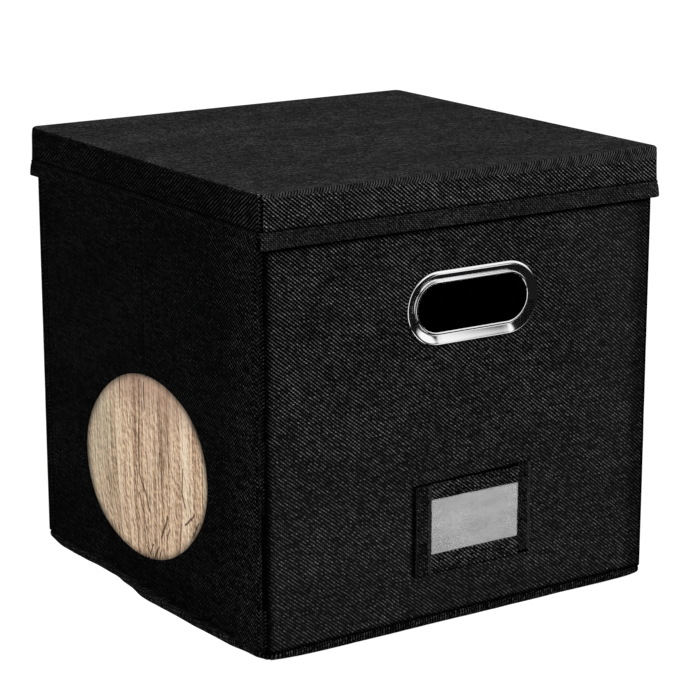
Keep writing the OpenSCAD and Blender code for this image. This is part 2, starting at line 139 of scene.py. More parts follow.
class Finish:
    """A material in the making: node() adds a node, and surface() feeds its main shader."""

    def __init__(self, name, **constants):
        self.material = bpy.data.materials.new(name)
        self.material.use_nodes = True
        self.tree = self.material.node_tree
        self.shader = next(n for n in self.tree.nodes if n.type == "BSDF_PRINCIPLED")
        self.surface({k.replace("_", " "): v for k, v in constants.items()})

    def node(self, kind, settings=None, inputs=None, output=0):
        made = self.tree.nodes.new(kind)
        for key, value in (settings or {}).items():
            if key == "stops":
                ramp = made.color_ramp
                while len(ramp.elements) < len(value):
                    ramp.elements.new(1)
                for element, (place, colour) in zip(ramp.elements, value):
                    element.position, element.color = place, (*colour, 1)
            else:
                setattr(made, key, value)
        for key, term in (inputs or {}).items():
            feed(self.tree, made.inputs[key], term)
        return Value(self.tree, made.outputs[output])

    def surface(self, inputs):
        for key, term in inputs.items():
            feed(self.tree, self.shader.inputs[key], term)

    def split(self, vector):
        parts = self.node("ShaderNodeSeparateXYZ", inputs={"Vector": vector}).socket.node
        return [Value(self.tree, parts.outputs[k]) for k in range(3)]

    def on_cloth(self):
        return self.split(self.node("ShaderNodeUVMap", {"uv_map": "cloth"}))[:2]

    def in_space(self):
        return self.split(self.node("ShaderNodeTexCoord", output="Object"))

    def point(self, x, y, z=0.0):
        return self.node("ShaderNodeCombineXYZ", inputs={"X": x, "Y": y, "Z": z})

    def cloud(self, x, y, z=0.0, detail=2.0, rough=0.5):
        return self.node("ShaderNodeTexNoise", {"noise_dimensions": "3D"}, {
            "Vector": self.point(x, y, z), "Scale": 1.0, "Detail": detail, "Roughness": rough})

    def between(self, value, low, high, first=0.0, last=1.0):
        """A soft step of value from low to high, giving first to last."""
        return self.node("ShaderNodeMapRange", {"interpolation_type": "SMOOTHSTEP"},
                         {"Value": value, "From Min": low, "From Max": high,
                          "To Min": first, "To Max": last})

    def mix(self, factor, first, last):
        made = self.node("ShaderNodeMix", {"data_type": "RGBA"}, output=2).socket.node
        for k, term in ((0, factor), (6, first), (7, last)):
            if k > 0 and not isinstance(term, Value):
                term = (*term, 1)
            feed(self.tree, made.inputs[k], term)
        return Value(self.tree, made.outputs[2])

    def ramp(self, value, stops):
        return self.node("ShaderNodeValToRGB", {"stops": stops}, {"Fac": value})

    def grey(self, level, blue=1.0):
        self.surface({"Base Color": self.point(level, level, level * blue)})

    def relief(self, height, distance, strength=1.0):
        self.surface({"Normal": self.node("ShaderNodeBump", inputs={
            "Height": height, "Distance": distance, "Strength": strength})})


def woven(name, pale, dark, tone=1.0, thread=(1.75 * MM, 1.41 * MM), contrast=1.0,
          wall=False, pocket=False, lid=False, edged=False):
    """Plain weave of pale weft over dark warp, on the piece's own cloth map; thread is the
    width and height of one crossing. A wall's has painted shade at its ends and above its foot,
    and a painted shadow under the lid's edge and round the label pocket. The lid's has painted
    shade down its corners and along its edging, and painted light and shade of ribs where it
    rolls over the front top edge."""
    f = Finish(name, Roughness=0.95, Specular_IOR_Level=0.01)
    u, v = f.on_cloth()
    x, y, z = f.in_space()
    if tone < 0.5 and not wall:     # painted light: the sides' weave is painted lighter towards the front
        tone = f.between(y, -100 * MM, -172 * MM, tone, tone * 2.4)
    if wall:
        # painted shade at the wall's ends and rounded corners and in the groove above its foot, and
        # a painted shadow where the lid's edge overhangs
        for place, low, high, first, last in (
                (abs(u), 167, 169, 1.0, 0.3), (abs(x), 169, 170.5, 1.0, 0.25),
                (u, -163, -168, 1.0, 0.35), (u, 151, 162, 1.0, 0.45), (v, 8.2, 11, 0.1, 1.0),
                (abs(v - 299.5 * MM), 1.5, 5.5, 0.04, 1.0)):
            tone = tone * f.between(place, low * MM, high * MM, first, last)
        # the weave is pressed flatter low down and towards the right end
        flat = f.between(v, 240 * MM, 60 * MM).most(f.between(u, 40 * MM, 150 * MM))
    if pocket:
        # painted shadow to the left of and above the label pocket's strips
        off = (-43.3 * MM - u).most((v - 109.3 * MM - 0.02 * u) * 2.4)
        off = off.most((u - 59 * MM) * 3).most((41.5 * MM - v) * 3)
        tone = tone * f.between(off, 2.2 * MM, 6 * MM, 0.05, 1.0)
    if lid:
        # painted shade down the lid's corner seams and in the groove above its edging
        groove = (abs(x) - 172.7 * MM).least(abs(y) - 168.7 * MM)
        tone = tone * f.between(groove, -0.3 * MM, 0.4 * MM, 1.0, 0.08)
        tone = tone * f.between(abs(z - 312.3 * MM), 0.4 * MM, 1.5 * MM, 0.15, 1.0)
        # where the cloth rolls over, with painted light and shade of its ribs in place of the
        # roll's rounding
        rolled = f.between(z + 0.018 * x, 331.2 * MM, 333.2 * MM) * f.between(
            y - 0.03 * x, -163.5 * MM, -166.5 * MM)
        slant = (x - 0.55 * z - 0.2 * y) / (2.3 * MM)
        slant = slant + 0.9 * f.cloud(x * 70, z * 70, y * 70)
        rib = (abs(slant % 1 - 0.5) * 2) ** 2.5 * f.between(
            f.cloud(x * 260, y * 160, z * 160, detail=1.0), 0.3, 0.6, 0.45, 1.2)
    wander = f.cloud(u * 55, v * 55, detail=1.0)
    # from here on u and v count threads
    u = u / thread[0] + 1.6 * wander
    v = v / thread[1] + 1.2 * f.cloud(u * 0.09, v * 38, 3.0, detail=1.0)
    column, row = math.floor(u), math.floor(v)
    across, up = u - column - 0.5, v - row - 0.5
    weft_up = (column + row) % 2
    # the thread on top is long one way and round the other way, and lies a little askew
    over = abs(weft_up * (up + 0.75 * across) + (1 - weft_up) * (across + 0.25 * up))
    along = abs(weft_up * across + (1 - weft_up) * up)
    height = (1 - 3.4 * over * over) * (1 - 1.2 * along * along)
    weft_tone = f.cloud(u * 0.13, row * 1.7, 1.0, detail=2.0, rough=0.7)
    warp_tone = f.cloud(column * 1.9, v * 0.11, 7.0, detail=2.0, rough=0.7)
    weft_tone = f.between(weft_tone, 0.25, 0.8, 1 - 0.7 * contrast, 1 + 0.7 * contrast)
    warp_tone = f.between(warp_tone, 0.25, 0.85, 0.3, 2.2)
    fleck = f.node("ShaderNodeTexWhiteNoise", {"noise_dimensions": "2D"},
                   {"Vector": f.point(column, row)})
    patches = f.between(f.cloud(u * 0.022, v * 0.03, 5.0, detail=3.0, rough=0.6),
                        0.3, 0.75, 0.78, 1.25)
    level = (weft_up * weft_tone * pale + (1 - weft_up) * warp_tone * dark) * patches
    uneven = f.between(y + z, -0.1, 0.1, 1.7, 1.2)      # rougher low on the front
    # each thread's crown is painted lighter and the gaps between threads darker: painted shade,
    # over the weave's own pale and dark threads
    level = level * (height.most(0.0) ** 2.4) * (1 + uneven * (fleck - 0.5)) * tone + 0.0003
    if wall:
        level = level * (1 - 0.3 * flat) + 0.0048 * flat * tone
    if lid:
        # painted light and shade of the roll's ribs replace the weave there
        level = level * (1 - rolled) + 0.72 * pale * tone * rolled * rib
    if edged:           # painted highlight: the folded edges of the pocket's side strips are painted paler
        wear_and_highlight = abs(abs(u * thread[0] - 8 * MM) - 45.3 * MM)
        level = level + f.between(wear_and_highlight, 4.6 * MM, 5.6 * MM, 0.0, 0.016)
    f.grey(level, 1.01)
    f.relief(height, 0.35 * MM, 0.6)
    return f.material


def felted(name, level):
    """Pressed non-woven lining with faint fibres."""
    f = Finish(name, Roughness=0.95, Specular_IOR_Level=0.05)
    u, v = f.on_cloth()
    fibres = f.cloud(u * 900, v * 250, detail=4.0, rough=0.7)
    fleck = f.cloud(u * 160, v * 420, 4.0, detail=3.0, rough=0.75)
    dimple = abs((u / (2.4 * MM)) % 1 - 0.5) + abs((v / (2.4 * MM)) % 1 - 0.5)
    level = f.between(fibres * 0.6 + fleck * 0.4, 0.3, 0.75, level * 0.45, level * 1.7)
    level = level * f.between(dimple, 0.0, 0.3, 0.6, 1.0)
    f.grey(level, 1.03)
    f.relief(fibres * 0.4 + f.between(dimple, 0.0, 0.35), 0.12 * MM, 0.7)
    return f.material


def ribbed(name, level):
    """Ribbon and tape with fine ribs across."""
    f = Finish(name, Roughness=0.6, Specular_IOR_Level=0.2)
    u, v = f.on_cloth()
    rib = abs((v / (0.9 * MM)) % 1 - 0.5) * 2
    fibres = f.cloud(u * 300, v * 90)
    f.grey((0.5 + 0.9 * rib) * level * f.between(fibres, 0.2, 0.8, 0.7, 1.3))
    f.relief(rib, 0.15 * MM)
    return f.material


def wooden():
    """Pale board with fine upright grain, short raised streaks with painted light and shade, and
    thin dark cracks and strokes that run together low down where the oval window bares it."""
    f = Finish("pale oak board", Specular_IOR_Level=0.1)
    x, y, z = f.in_space()
    # the grain runs upright in a wall and along X in a flat board
    wide = y + 0.37 * x
    drift = f.cloud(wide * 9, z * 5.0, x * 3, detail=2.0)
    fine = f.cloud(wide * 70, z * 26, 2.0, detail=3.0, rough=0.6)
    low = f.between(z, 0.085, 0.03)
    line = (wide + 0.074) * (1 + 0.12 * low) + (drift - 0.5) * 0.010 + (
        fine - 0.5) * (0.0012 + 0.009 * low)
    streak = f.cloud(line * 330, z * 3.5, 0.0, detail=4.0, rough=0.6)
    hair = f.cloud(line * 640, z * 60, 4.0, detail=3.0, rough=0.7)
    band = f.cloud(line * 60, z * 3, 9.0, detail=2.0)
    # short raised streaks: a bump, with their light and shade from one side painted into the colour
    relief_and_painted_light = f.cloud(line * 430, z * 170, 11.0, detail=2.0, rough=0.6)
    shaded = f.cloud(line * 430 + 0.4, z * 170 - 0.3, 11.0, detail=2.0, rough=0.6)
    tone = (streak - 0.5) * 1.6 + (hair - 0.5) * 0.8 + (relief_and_painted_light - shaded) * 1.1
    tone = tone + (band - 0.5) * 0.7 + 0.52
    crack = f.cloud(line * 110, z * 5.5, 14.0, detail=3.0, rough=0.55)
    crack = f.between(abs(crack - 0.5), 0.0, 0.013, 1.0, 0.0) * f.between(
        f.cloud(line * 45, z * 16, 21.0, detail=2.0), 0.40, 0.6)
    # the dark strokes: ends in mm along and up the left wall, and width
    nearest = 9.0
    bent_y, bent_z = y + (fine - 0.5) * 0.005, z + (streak - 0.5) * 0.006
    for y0, z0, y1, z1, width in STROKES:
        y0, z0, dy, dz = y0 * MM, z0 * MM, (y1 - y0) * MM, (z1 - z0) * MM
        size = dy * dy + dz * dz
        way = (bent_y * (dy / size) + bent_z * (dz / size) - (y0 * dy + z0 * dz) / size)
        way = way.most(0.0).least(1.0)
        off_y, off_z = bent_y - y0 - way * dy, bent_z - z0 - way * dz
        gap = (off_y * off_y + off_z * off_z) ** 0.5 / (width * MM)
        nearest = gap.least(nearest)
    on_outer = f.between(x, -169.0 * MM, -169.4 * MM)
    strokes = f.between(nearest + (hair - 0.5) * 1.2, 0.35, 1.0, 1.0, 0.0) * on_outer
    colour = f.ramp(tone, [
        (0.16, (0.20, 0.115, 0.065)), (0.34, (0.42, 0.27, 0.17)), (0.47, (0.64, 0.44, 0.29)),
        (0.58, (0.78, 0.55, 0.37)), (0.72, (0.93, 0.72, 0.51)), (0.9, (1.0, 0.86, 0.66))])
    tint = f.cloud(wide * 14, z * 11, 30.0, detail=2.0)
    rosy = f.between(tint, 0.5, 0.7, 0.0, 0.3).most(f.between(z, 0.132, 0.165, 0.0, 0.55))
    colour = f.mix(rosy, colour, (0.44, 0.27, 0.205))
    colour = f.mix(f.between(y, 0.03, 0.08, 0.0, 0.5) * f.between(tint, 0.35, 0.6, 1.0, 0.4),
                   colour, (0.50, 0.49, 0.36))
    colour = f.mix((crack * 0.6).most(strokes * 0.9), colour, (0.10, 0.055, 0.03))
    pores = f.node("ShaderNodeTexVoronoi", {"feature": "F1", "voronoi_dimensions": "3D"}, {
        "Vector": f.point(line * 300, z * 120, 2.0), "Scale": 1.0, "Randomness": 1.0})
    wear_and_highlight = f.between(f.cloud(wide * 35, z * 35, 8.0, detail=2.0), 0.55, 0.62)
    colour = f.mix(f.between(pores, 0.18, 0.05) * wear_and_highlight * 0.7, colour, (0.14, 0.08, 0.04))
    # soft dark rim where the board meets the cloth round the oval window
    off_y, off_z = y - OVAL_Y, z - OVAL_Z
    a = (off_y * math.cos(OVAL_TILT) - off_z * math.sin(OVAL_TILT)) / OVAL_A
    b = (off_y * math.sin(OVAL_TILT) + off_z * math.cos(OVAL_TILT)) / OVAL_B
    reach = (a * a + b * b) ** 0.5
    rim = f.between(reach + (fine - 0.5) * 0.05, 0.86, 1.0) ** 2.0
    colour = f.mix(rim * on_outer * 0.95, colour, (0.035, 0.033, 0.025))
    f.surface({"Base Color": colour, "Roughness": f.between(streak, 0.3, 0.7, 0.8, 0.6)})
    f.relief(streak * 0.5 + relief_and_painted_light * 0.5 - crack - strokes, 0.5 * MM, 1.0)
    return f.material


def plated(name, colour, rough, brushed=0.0):
    """Bright or brushed plated metal."""
    f = Finish(name, Metallic=1.0, Base_Color=(*colour, 1))
    x, y, z = f.in_space()
    smear = f.cloud(x * 60, y * 60, z * 60, detail=3.0, rough=0.6)
    lines = f.cloud(x * 90, y * 400, z * 3500, detail=3.0, rough=0.7)
    f.surface({"Roughness": f.between(smear, 0.3, 0.75, rough * 0.8, rough * 1.3)
               + lines * brushed})
    if brushed:
        f.relief(lines, 0.02 * MM, 0.5)
    return f.material


def card_board():
    """Pale grey card with faint smears, and a painted highlight along its edges."""
    f = Finish("grey card", Roughness=0.7, Specular_IOR_Level=0.3)
    x, y, z = f.in_space()
    smear = f.cloud(x * 24 + z * 20, 0.0, z * 70 - x * 12, detail=3.0, rough=0.55)
    grain = f.cloud(x * 1500, y * 1500, z * 1500, detail=2.0)
    level = f.between(smear, 0.3, 0.7, 0.34, 0.45) + (grain - 0.5) * 0.006
    # painted highlight: the card is painted lighter along its edges, standing in for the clear
    # film's bright edges
    edge = abs(x - LABEL_X).most(abs(z - LABEL_Z) + 18.5 * MM)
    f.grey(level + f.between(edge, 38.0 * MM, 39.4 * MM, 0.0, 0.13))
    f.relief(smear, 0.1 * MM, 0.3)
    return f.material


def clear_film():
    """Clear pocket film: mostly see-through, with a soft uneven gloss."""
    f = Finish("clear film", Base_Color=(0.8, 0.8, 0.8, 1), Specular_IOR_Level=0.12)
    x, y, z = f.in_space()
    wave = f.cloud(x * 30, z * 80, z * 10, detail=2.0)
    f.surface({"Alpha": f.between(wave, 0.35, 0.7, 0.05, 0.12) * f.between(
        z, 108.2 * MM, 107.8 * MM), "Roughness": f.between(wave, 0.3, 0.7, 0.2, 0.35)})
    f.relief(wave, 0.3 * MM, 0.4)
    return f.material


def twisted_thread():
    """Thread with its ply twisted across it."""
    f = Finish("black thread", Roughness=0.8, Specular_IOR_Level=0.1)
    x, y, z = f.in_space()
    ply = abs(((x + y) * 2600 + z * 2600) % 1 - 0.5) * 2
    f.grey(f.between(ply, 0.0, 1.0, 0.002, 0.014))
    f.relief(ply, 0.08 * MM)
    return f.material


front_weave = woven("black linen weave, front", 0.100, 0.002, wall=True, pocket=True)
back_weave = woven("black linen weave, back", 0.100, 0.002, wall=True)
# the sides' weave is the same cloth painted darker: painted shade for the dim sides
side_weave_painted_shade = woven("black linen weave, painted side shade", 0.125, 0.002, tone=0.16, contrast=1.2,
                   thread=(2.0 * MM, 1.55 * MM), lid=True)
lid_weave = woven("black linen weave, lid", 0.127, 0.002, lid=True)
hem_weave = woven("black floor edging", 0.075, 0.002, tone=0.7)
lid_hem_weave = woven("black lid edging", 0.054, 0.017, contrast=0.5)
edge_weave = woven("black edging", 0.115, 0.006)
strap_weave = woven("fine black edging", 0.055, 0.012, tone=0.7, contrast=0.8, edged=True)
lining_felt = felted("black lining", 0.02)
ribbon_weave = ribbed("black ribbon", 0.02)
wood = wooden()
chrome = plated("bright plate", (0.93, 0.93, 0.94), 0.08)
ring_steel = plated("ring plate", (0.62, 0.62, 0.63), 0.25, brushed=0.12)
card_finish = card_board()
film = clear_film()
thread = twisted_thread()


# ---- modelling helpers ---------------------------------------------------------------------
def only(*pieces):
    bpy.ops.object.select_all(action="DESELECT")
    for piece in pieces:
        piece.select_set(True)
    bpy.context.view_layer.objects.active = pieces[0]


def joined_up(*pieces):
    """Joins the pieces into the first of them."""
    only(*pieces)
    if len(pieces) > 1:
        bpy.ops.object.join()
    return pieces[0]


def named(piece, name):
    piece.name = piece.data.name = name
    return piece


def settle(piece):
    only(piece)
    bpy.ops.object.transform_apply(location=True, rotation=True, scale=True)
    return piece


@contextmanager
def shaping(piece):
    only(piece)
    bpy.ops.object.mode_set(mode="EDIT")
    bpy.ops.mesh.select_mode(type="EDGE")
    bpy.ops.mesh.select_all(action="DESELECT")
    yield
    bpy.ops.object.mode_set(mode="OBJECT")


def choose(piece, kind, test):
    """In edit mode: selects the verts, edges or faces that pass a test."""
    mesh = bmesh.from_edit_mesh(piece.data)
    bpy.ops.mesh.select_all(action="DESELECT")
    for element in getattr(mesh, kind):
        if test(element):
            element.select_set(True)
    mesh.select_flush_mode()
    bmesh.update_edit_mesh(piece.data)


def middle(edge):
    return (edge.verts[0].co + edge.verts[1].co) / 2


def rise(edge, axis=2):
    return abs((edge.verts[0].co - edge.verts[1].co)[axis])


def face_out():
    """In edit mode: turns all faces outwards."""
    bpy.ops.mesh.select_all(action="SELECT")
    bpy.ops.mesh.normals_make_consistent(inside=False)


def apply_all(piece):
    only(piece)
    for modifier in list(piece.modifiers):
        bpy.ops.object.modifier_apply(modifier=modifier.name)


def thicken(piece, thickness):
    made = piece.modifiers.new("thickness", "SOLIDIFY")
    made.thickness, made.offset = thickness, -1
    apply_all(piece)


def cut(piece, cutter):
    made = piece.modifiers.new("cut", "BOOLEAN")
    made.operation, made.solver, made.object = "DIFFERENCE", "EXACT", cutter
    apply_all(piece)
    bpy.data.objects.remove(cutter)


def close(piece, test):
    """Fills the open edge whose edges pass the test, and turns the faces outwards."""
    with shaping(piece):
        choose(piece, "edges", lambda e: len(e.link_faces) == 1 and test(middle(e)))
        bpy.ops.mesh.edge_face_add()
        face_out()


def shift(piece, move):
    """Moves each vertex by what move(place) gives."""
    for vertex in piece.data.vertices:
        vertex.co += Vector(move(vertex.co))


def ripple(place, size, seed=0.0):
    return noise.noise(Vector(place) / size + Vector((seed, seed * 1.7, 0)))


def flat_map(piece, turn):
    """Cloth map in metres, laid flat on each face's main direction, turned for edging."""
    mesh = piece.data
    layer = mesh.uv_layers.get("cloth") or mesh.uv_layers.new(name="cloth")
    c, s = math.cos(turn), math.sin(turn)
    for face in mesh.polygons:
        n = [abs(k) for k in face.normal]
        i, j = ((1, 2), (0, 2), (0, 1))[n.index(max(n))]
        for corner in face.loop_indices:
            p = mesh.vertices[mesh.loops[corner].vertex_index].co
            layer.data[corner].uv = (p[i] * c - p[j] * s, p[i] * s + p[j] * c)


def set_on(piece, side):
    """Takes a piece drawn on a wall that faces -Y with its outer face at y = 0 to a side."""
    angle, (x, y) = SIDES[side]
    piece.rotation_euler.z, piece.location = angle, (x, y, 0)
    return settle(piece)


def dress(piece, finish):
    piece.data.materials.clear()
    piece.data.materials.append(finish)
    return piece


def finished(piece, finish, angle, turn=None):
    """Smooths a piece and gives it its finish, with a flat cloth map where turn is given."""
    if turn is not None:
        flat_map(piece, turn)
    only(piece)
    bpy.ops.object.shade_smooth_by_angle(angle=math.radians(angle))
    return dress(piece, finish)


def dress_sides(piece):
    """Gives the faces that look left or right the side weave, the same cloth painted darker as
    shade.
    """
    piece.data.materials.append(side_weave_painted_shade)
    for face in piece.data.polygons:
        face.material_index = int(abs(face.normal.x) > 0.7)


def block(low, high):
    """A cube between two corners."""
    bpy.ops.mesh.primitive_cube_add(size=1)
    made = bpy.context.object
    made.location = [(a + b) / 2 for a, b in zip(low, high)]
    made.scale = [b - a for a, b in zip(low, high)]
    return settle(made)


def lofted(name, rings, joined=False, capped=False, turn=0.0):
    """A skin over rings of the same number of points, extruded ring by ring."""
    count = len(rings[0])
    bpy.ops.mesh.primitive_circle_add(vertices=count, radius=1)
    made = named(bpy.context.object, name)
    mesh = made.data
    station = mesh.attributes.new("station", "INT", "POINT")
    ring = mesh.attributes.new("ring", "INT", "POINT")
    for k, vertex in enumerate(mesh.vertices):
        vertex.co = rings[0][k]
        station.data[k].value, ring.data[k].value = k, 0
    with shaping(made):
        bpy.ops.mesh.select_all(action="SELECT")
        for number, points in enumerate(rings[1:], 1):
            bpy.ops.mesh.extrude_region_move()
            solid = bmesh.from_edit_mesh(mesh)
            at, of = solid.verts.layers.int["station"], solid.verts.layers.int["ring"]
            for vertex in solid.verts:
                if vertex.select:
                    vertex.co, vertex[of] = points[vertex[at]], number
            bmesh.update_edit_mesh(mesh)
        last = len(rings) - 1
        of = bmesh.from_edit_mesh(mesh).verts.layers.int["ring"]
        ends = ({0, last},) if joined else ({0}, {last}) if capped else ()
        for wanted in ends:
            choose(made, "edges", lambda e: all(w[of] in wanted for w in e.verts)
                   and e.verts[0][of] == e.verts[1][of])
            if joined:
                bpy.ops.mesh.bridge_edge_loops()
            else:
                bpy.ops.mesh.edge_face_add()
        face_out()
    # cloth map: along the ring, and from ring to ring
    along, up = [0.0], [0.0]
    for k in range(count):
        a, b = Vector(rings[0][k]), Vector(rings[0][(k + 1) % count])
        along.append(along[-1] + (b - a).length)
    for k in range(len(rings)):
        a, b = Vector(rings[k][0]), Vector(rings[(k + 1) % len(rings)][0])
        up.append(up[-1] + (b - a).length)
    layer = mesh.uv_layers.get("cloth") or mesh.uv_layers.new(name="cloth")
    station, ring = mesh.attributes["station"].data, mesh.attributes["ring"].data
    c, s = math.cos(turn), math.sin(turn)
    for face in mesh.polygons:
        at = [station[v].value for v in face.vertices]
        of = [ring[v].value for v in face.vertices]
        for corner, i, j in zip(face.loop_indices, at, of):
            i = count if i == 0 and max(at) > 1 and max(at) == count - 1 else i
            j = len(rings) if j == 0 and max(of) > 1 and max(of) == len(rings) - 1 else j
            layer.data[corner].uv = (along[i] * c - up[j] * s, along[i] * s + up[j] * c)
    return made


def outline(arcs, arc_steps, run_steps):
    """Closed line of arcs (x, y, radius, first angle, last angle) and the runs between them,
    as (x, y, outward x, outward y)."""
    points = []
    for k, (x, y, r, first, last) in enumerate(arcs):
        for i in range(arc_steps + 1):
            a = first + (last - first) * i / arc_steps
            points.append((x + r * math.cos(a), y + r * math.sin(a), math.cos(a), math.sin(a)))
        steps = run_steps[k % len(run_steps)]
        if not steps:
            points.pop()
            continue
        nx, ny, nr, a, _ = arcs[(k + 1) % len(arcs)]
        end = (nx + nr * math.cos(a), ny + nr * math.sin(a))
        here = points[-1]
        for i in range(1, steps):
            t = i / steps
            points.append((here[0] + (end[0] - here[0]) * t, here[1] + (end[1] - here[1]) * t,
                           here[2], here[3]))
    return points


def rounded_rectangle(w, d, r, inset, arc_steps, run_steps):
    r = max(r - inset, 0.2 * MM)
    x, y = w / 2 - inset - r, d / 2 - inset - r
    q = math.pi / 2
    return outline([(x, y, r, 0, q), (-x, y, r, q, 2 * q), (-x, -y, r, 2 * q, 3 * q),
                    (x, -y, r, 3 * q, 4 * q)], arc_steps, (run_steps, run_steps))


def soft_strip(name, low, high, edge, cuts, axis, wobble):
    """A flat cloth strip with soft edges, cut along its length so that it can waver."""
    made = block(low, high)
    with shaping(made):
        choose(made, "edges", lambda e: True)
        bpy.ops.mesh.bevel(offset=edge, segments=3, affect="EDGES", profile=0.6)
        choose(made, "edges", lambda e: rise(e, axis) > 0.5 * (high[axis] - low[axis]))
        bpy.ops.mesh.subdivide(number_cuts=cuts)
    named(made, name)
    shift(made, lambda p: [wobble * ripple(p, 9 * MM, k + 1.5) for k in range(3)])
    return made


def stitches(name, runs):
    """Rows of thread stitches; each run is (start, end)."""
    length, pitch, thick = 2.7 * MM, 3.7 * MM, 0.42 * MM
    rows = []
    for start, end in runs:
        start, end = Vector(start), Vector(end)
        way = (end - start).normalized()
        count = max(1, int((end - start).length / pitch))
        bpy.ops.mesh.primitive_uv_sphere_add(segments=6, ring_count=4, radius=0.5)
        row = bpy.context.object
        row.scale = (thick, thick, length)
        row.rotation_mode = "QUATERNION"
        row.rotation_quaternion = way.to_track_quat("Z", "Y")
        row.location = start + way * length / 2
        settle(row)
        made = row.modifiers.new("row", "ARRAY")
        made.count, made.use_relative_offset, made.use_constant_offset = count, False, True
        made.constant_offset_displace = way * (end - start).length / count
        apply_all(row)
        rows.append(row)
    return named(finished(joined_up(*rows), thread, 180), name)


# ---- walls ---------------------------------------------------------------------------------
def slot_cutter(x):
    """A long round-ended plug through a wall at the hand opening."""
    bpy.ops.mesh.primitive_cylinder_add(vertices=64, radius=SLOT_R + SLOT_PLAY, depth=30 * MM,
                                        rotation=(math.pi / 2, 0, 0))
    made = settle(bpy.context.object)
    shift(made, lambda p: (x + (SLOT_HALF_RUN if p.x > 1e-6 else -SLOT_HALF_RUN), 0, HANDLE_Z))
    return made


def oval_outline():
    """The oval window's outline on the left wall, in that wall's own x (to the front) and z."""
    a, b, end_r = OVAL_A, OVAL_B, OVAL_END_R
    side_r = ((a - end_r) ** 2 + b * b - end_r * end_r) / (2 * (b - end_r))
    join_x = (a - end_r) * side_r / (side_r - end_r)
    join = math.acos(join_x / side_r)
    drop = b - side_r
    pi = math.pi
    arcs = [(a - end_r, 0, end_r, -join, join), (0, drop, side_r, join, pi - join),
            (end_r - a, 0, end_r, pi - join, pi + join),
            (0, -drop, side_r, pi + join, 2 * pi - join)]
    c, s = math.cos(OVAL_TILT), math.sin(OVAL_TILT)
    return [(x * c - z * s - OVAL_Y, x * s + z * c + OVAL_Z, nx * c - nz * s, nx * s + nz * c)
            for x, z, nx, nz in outline(arcs, 24, (0,))]


def calm(x, z):
    """0 on the handle and the label pocket, where the cloth lies flat, and 1 away from them."""
    far = min(1.0, *(max(abs(x / MM - cx) - w, abs(z / MM - cz) - h, 0) / 25
                     for cx, cz, w, h in ((5, 240, 62, 31), (9, 75, 54, 38))))
    return far * far * (3 - 2 * far)


def wall_cloth(name, half, corner, still=lambda x, z: 1.0, creased=False):
    """Cloth round a wall: its outer face, the top edge turned in, the ends and the foot.
    still(x, z) is 0 where the cloth lies flat, and a side wall is creased up its middle."""
    across, high = round(2 * half / (5 * MM)), round((BOX_H - WALL_Z0) / (5 * MM))
    bpy.ops.mesh.primitive_grid_add(x_subdivisions=across, y_subdivisions=high, size=1,
                                    rotation=(math.pi / 2, 0, 0))
    made = bpy.context.object
    made.scale = (2 * half, BOX_H - WALL_Z0, 1)
    made.location = (0, 0, (BOX_H + WALL_Z0) / 2)
    named(settle(made), name)
    with shaping(made):
        if creased:
            for x in (-2, -1.1, -0.4, -0.2, 0, 0.2, 0.4, 1.1, 2):
                bpy.ops.mesh.select_all(action="SELECT")
                bpy.ops.mesh.bisect(plane_co=(x * MM, 0, 0), plane_no=(1, 0, 0))
        rims = (lambda m: m.z > BOX_H - 1e-5, lambda m: m.z < WALL_Z0 + 1e-5,
                lambda m: abs(m.x) > half - 1e-5)
        for rim in rims:
            choose(made, "edges", lambda e: len(e.link_faces) == 1
                   and all(abs(w.co.y) < 1e-6 for w in e.verts) and rim(middle(e)))
            bpy.ops.mesh.extrude_edges_move(
                TRANSFORM_OT_translate={"value": (0, WALL_T, 0)})
            if rim is rims[0]:
                bpy.ops.mesh.extrude_edges_move(
                    TRANSFORM_OT_translate={"value": (0, 0, -TURN_IN)})
        bpy.ops.mesh.select_all(action="SELECT")
        bpy.ops.mesh.remove_doubles(threshold=1e-5)
        choose(made, "edges", lambda e: abs(middle(e).x) > half - 1e-5
               and abs(middle(e).y) < 1e-6 and rise(e) > MM)
        bpy.ops.mesh.bevel(offset=corner, segments=5, affect="EDGES")
        choose(made, "edges", lambda e: len(e.link_faces) == 2
               and e.calc_face_angle() > 1.2 and not 9 * MM < middle(e).z < BOX_H - 9 * MM)
        bpy.ops.mesh.bevel(offset=0.8 * MM, segments=3, affect="EDGES")

    def sway(p):
        if p.y > 3 * MM and p.z < BOX_H - 2 * MM:
            return (0, 0, 0)
        out = 0.22 * ripple(p, 70 * MM, 1) + 0.10 * ripple(p, 17 * MM, 4)
        out *= still(p.x, p.z)
        if creased:
            out -= 0.45 * math.exp(-((p.x / (1.6 * MM)) ** 2))
        return (0, -out * MM, 0)

    shift(made, sway)
    thicken(made, COVER_T)
    return made


front_cloth = wall_cloth("front_cloth", BOX_W / 2, 3 * MM, still=calm)
cut(front_cloth, slot_cutter(HANDLE_X))
set_on(finished(front_cloth, front_weave, 50, 0), "front")

back_cloth = wall_cloth("back_cloth", BOX_W / 2, 3 * MM, still=lambda x, z: calm(-x, z))
cut(back_cloth, slot_cutter(-HANDLE_X))
set_on(finished(back_cloth, back_weave, 50, 0), "back")

left_side_cloth = wall_cloth("left_side_cloth", FOLD_GAP + HALF_W, 0.6 * MM, creased=True)
window_plug = lofted("window_plug", [[(x, y, z) for x, z, _, _ in oval_outline()]
                                     for y in (-10 * MM, COVER_T + 0.6 * MM)], capped=True)
cut(left_side_cloth, window_plug)
finished(left_side_cloth, side_weave_painted_shade, 50, 0)
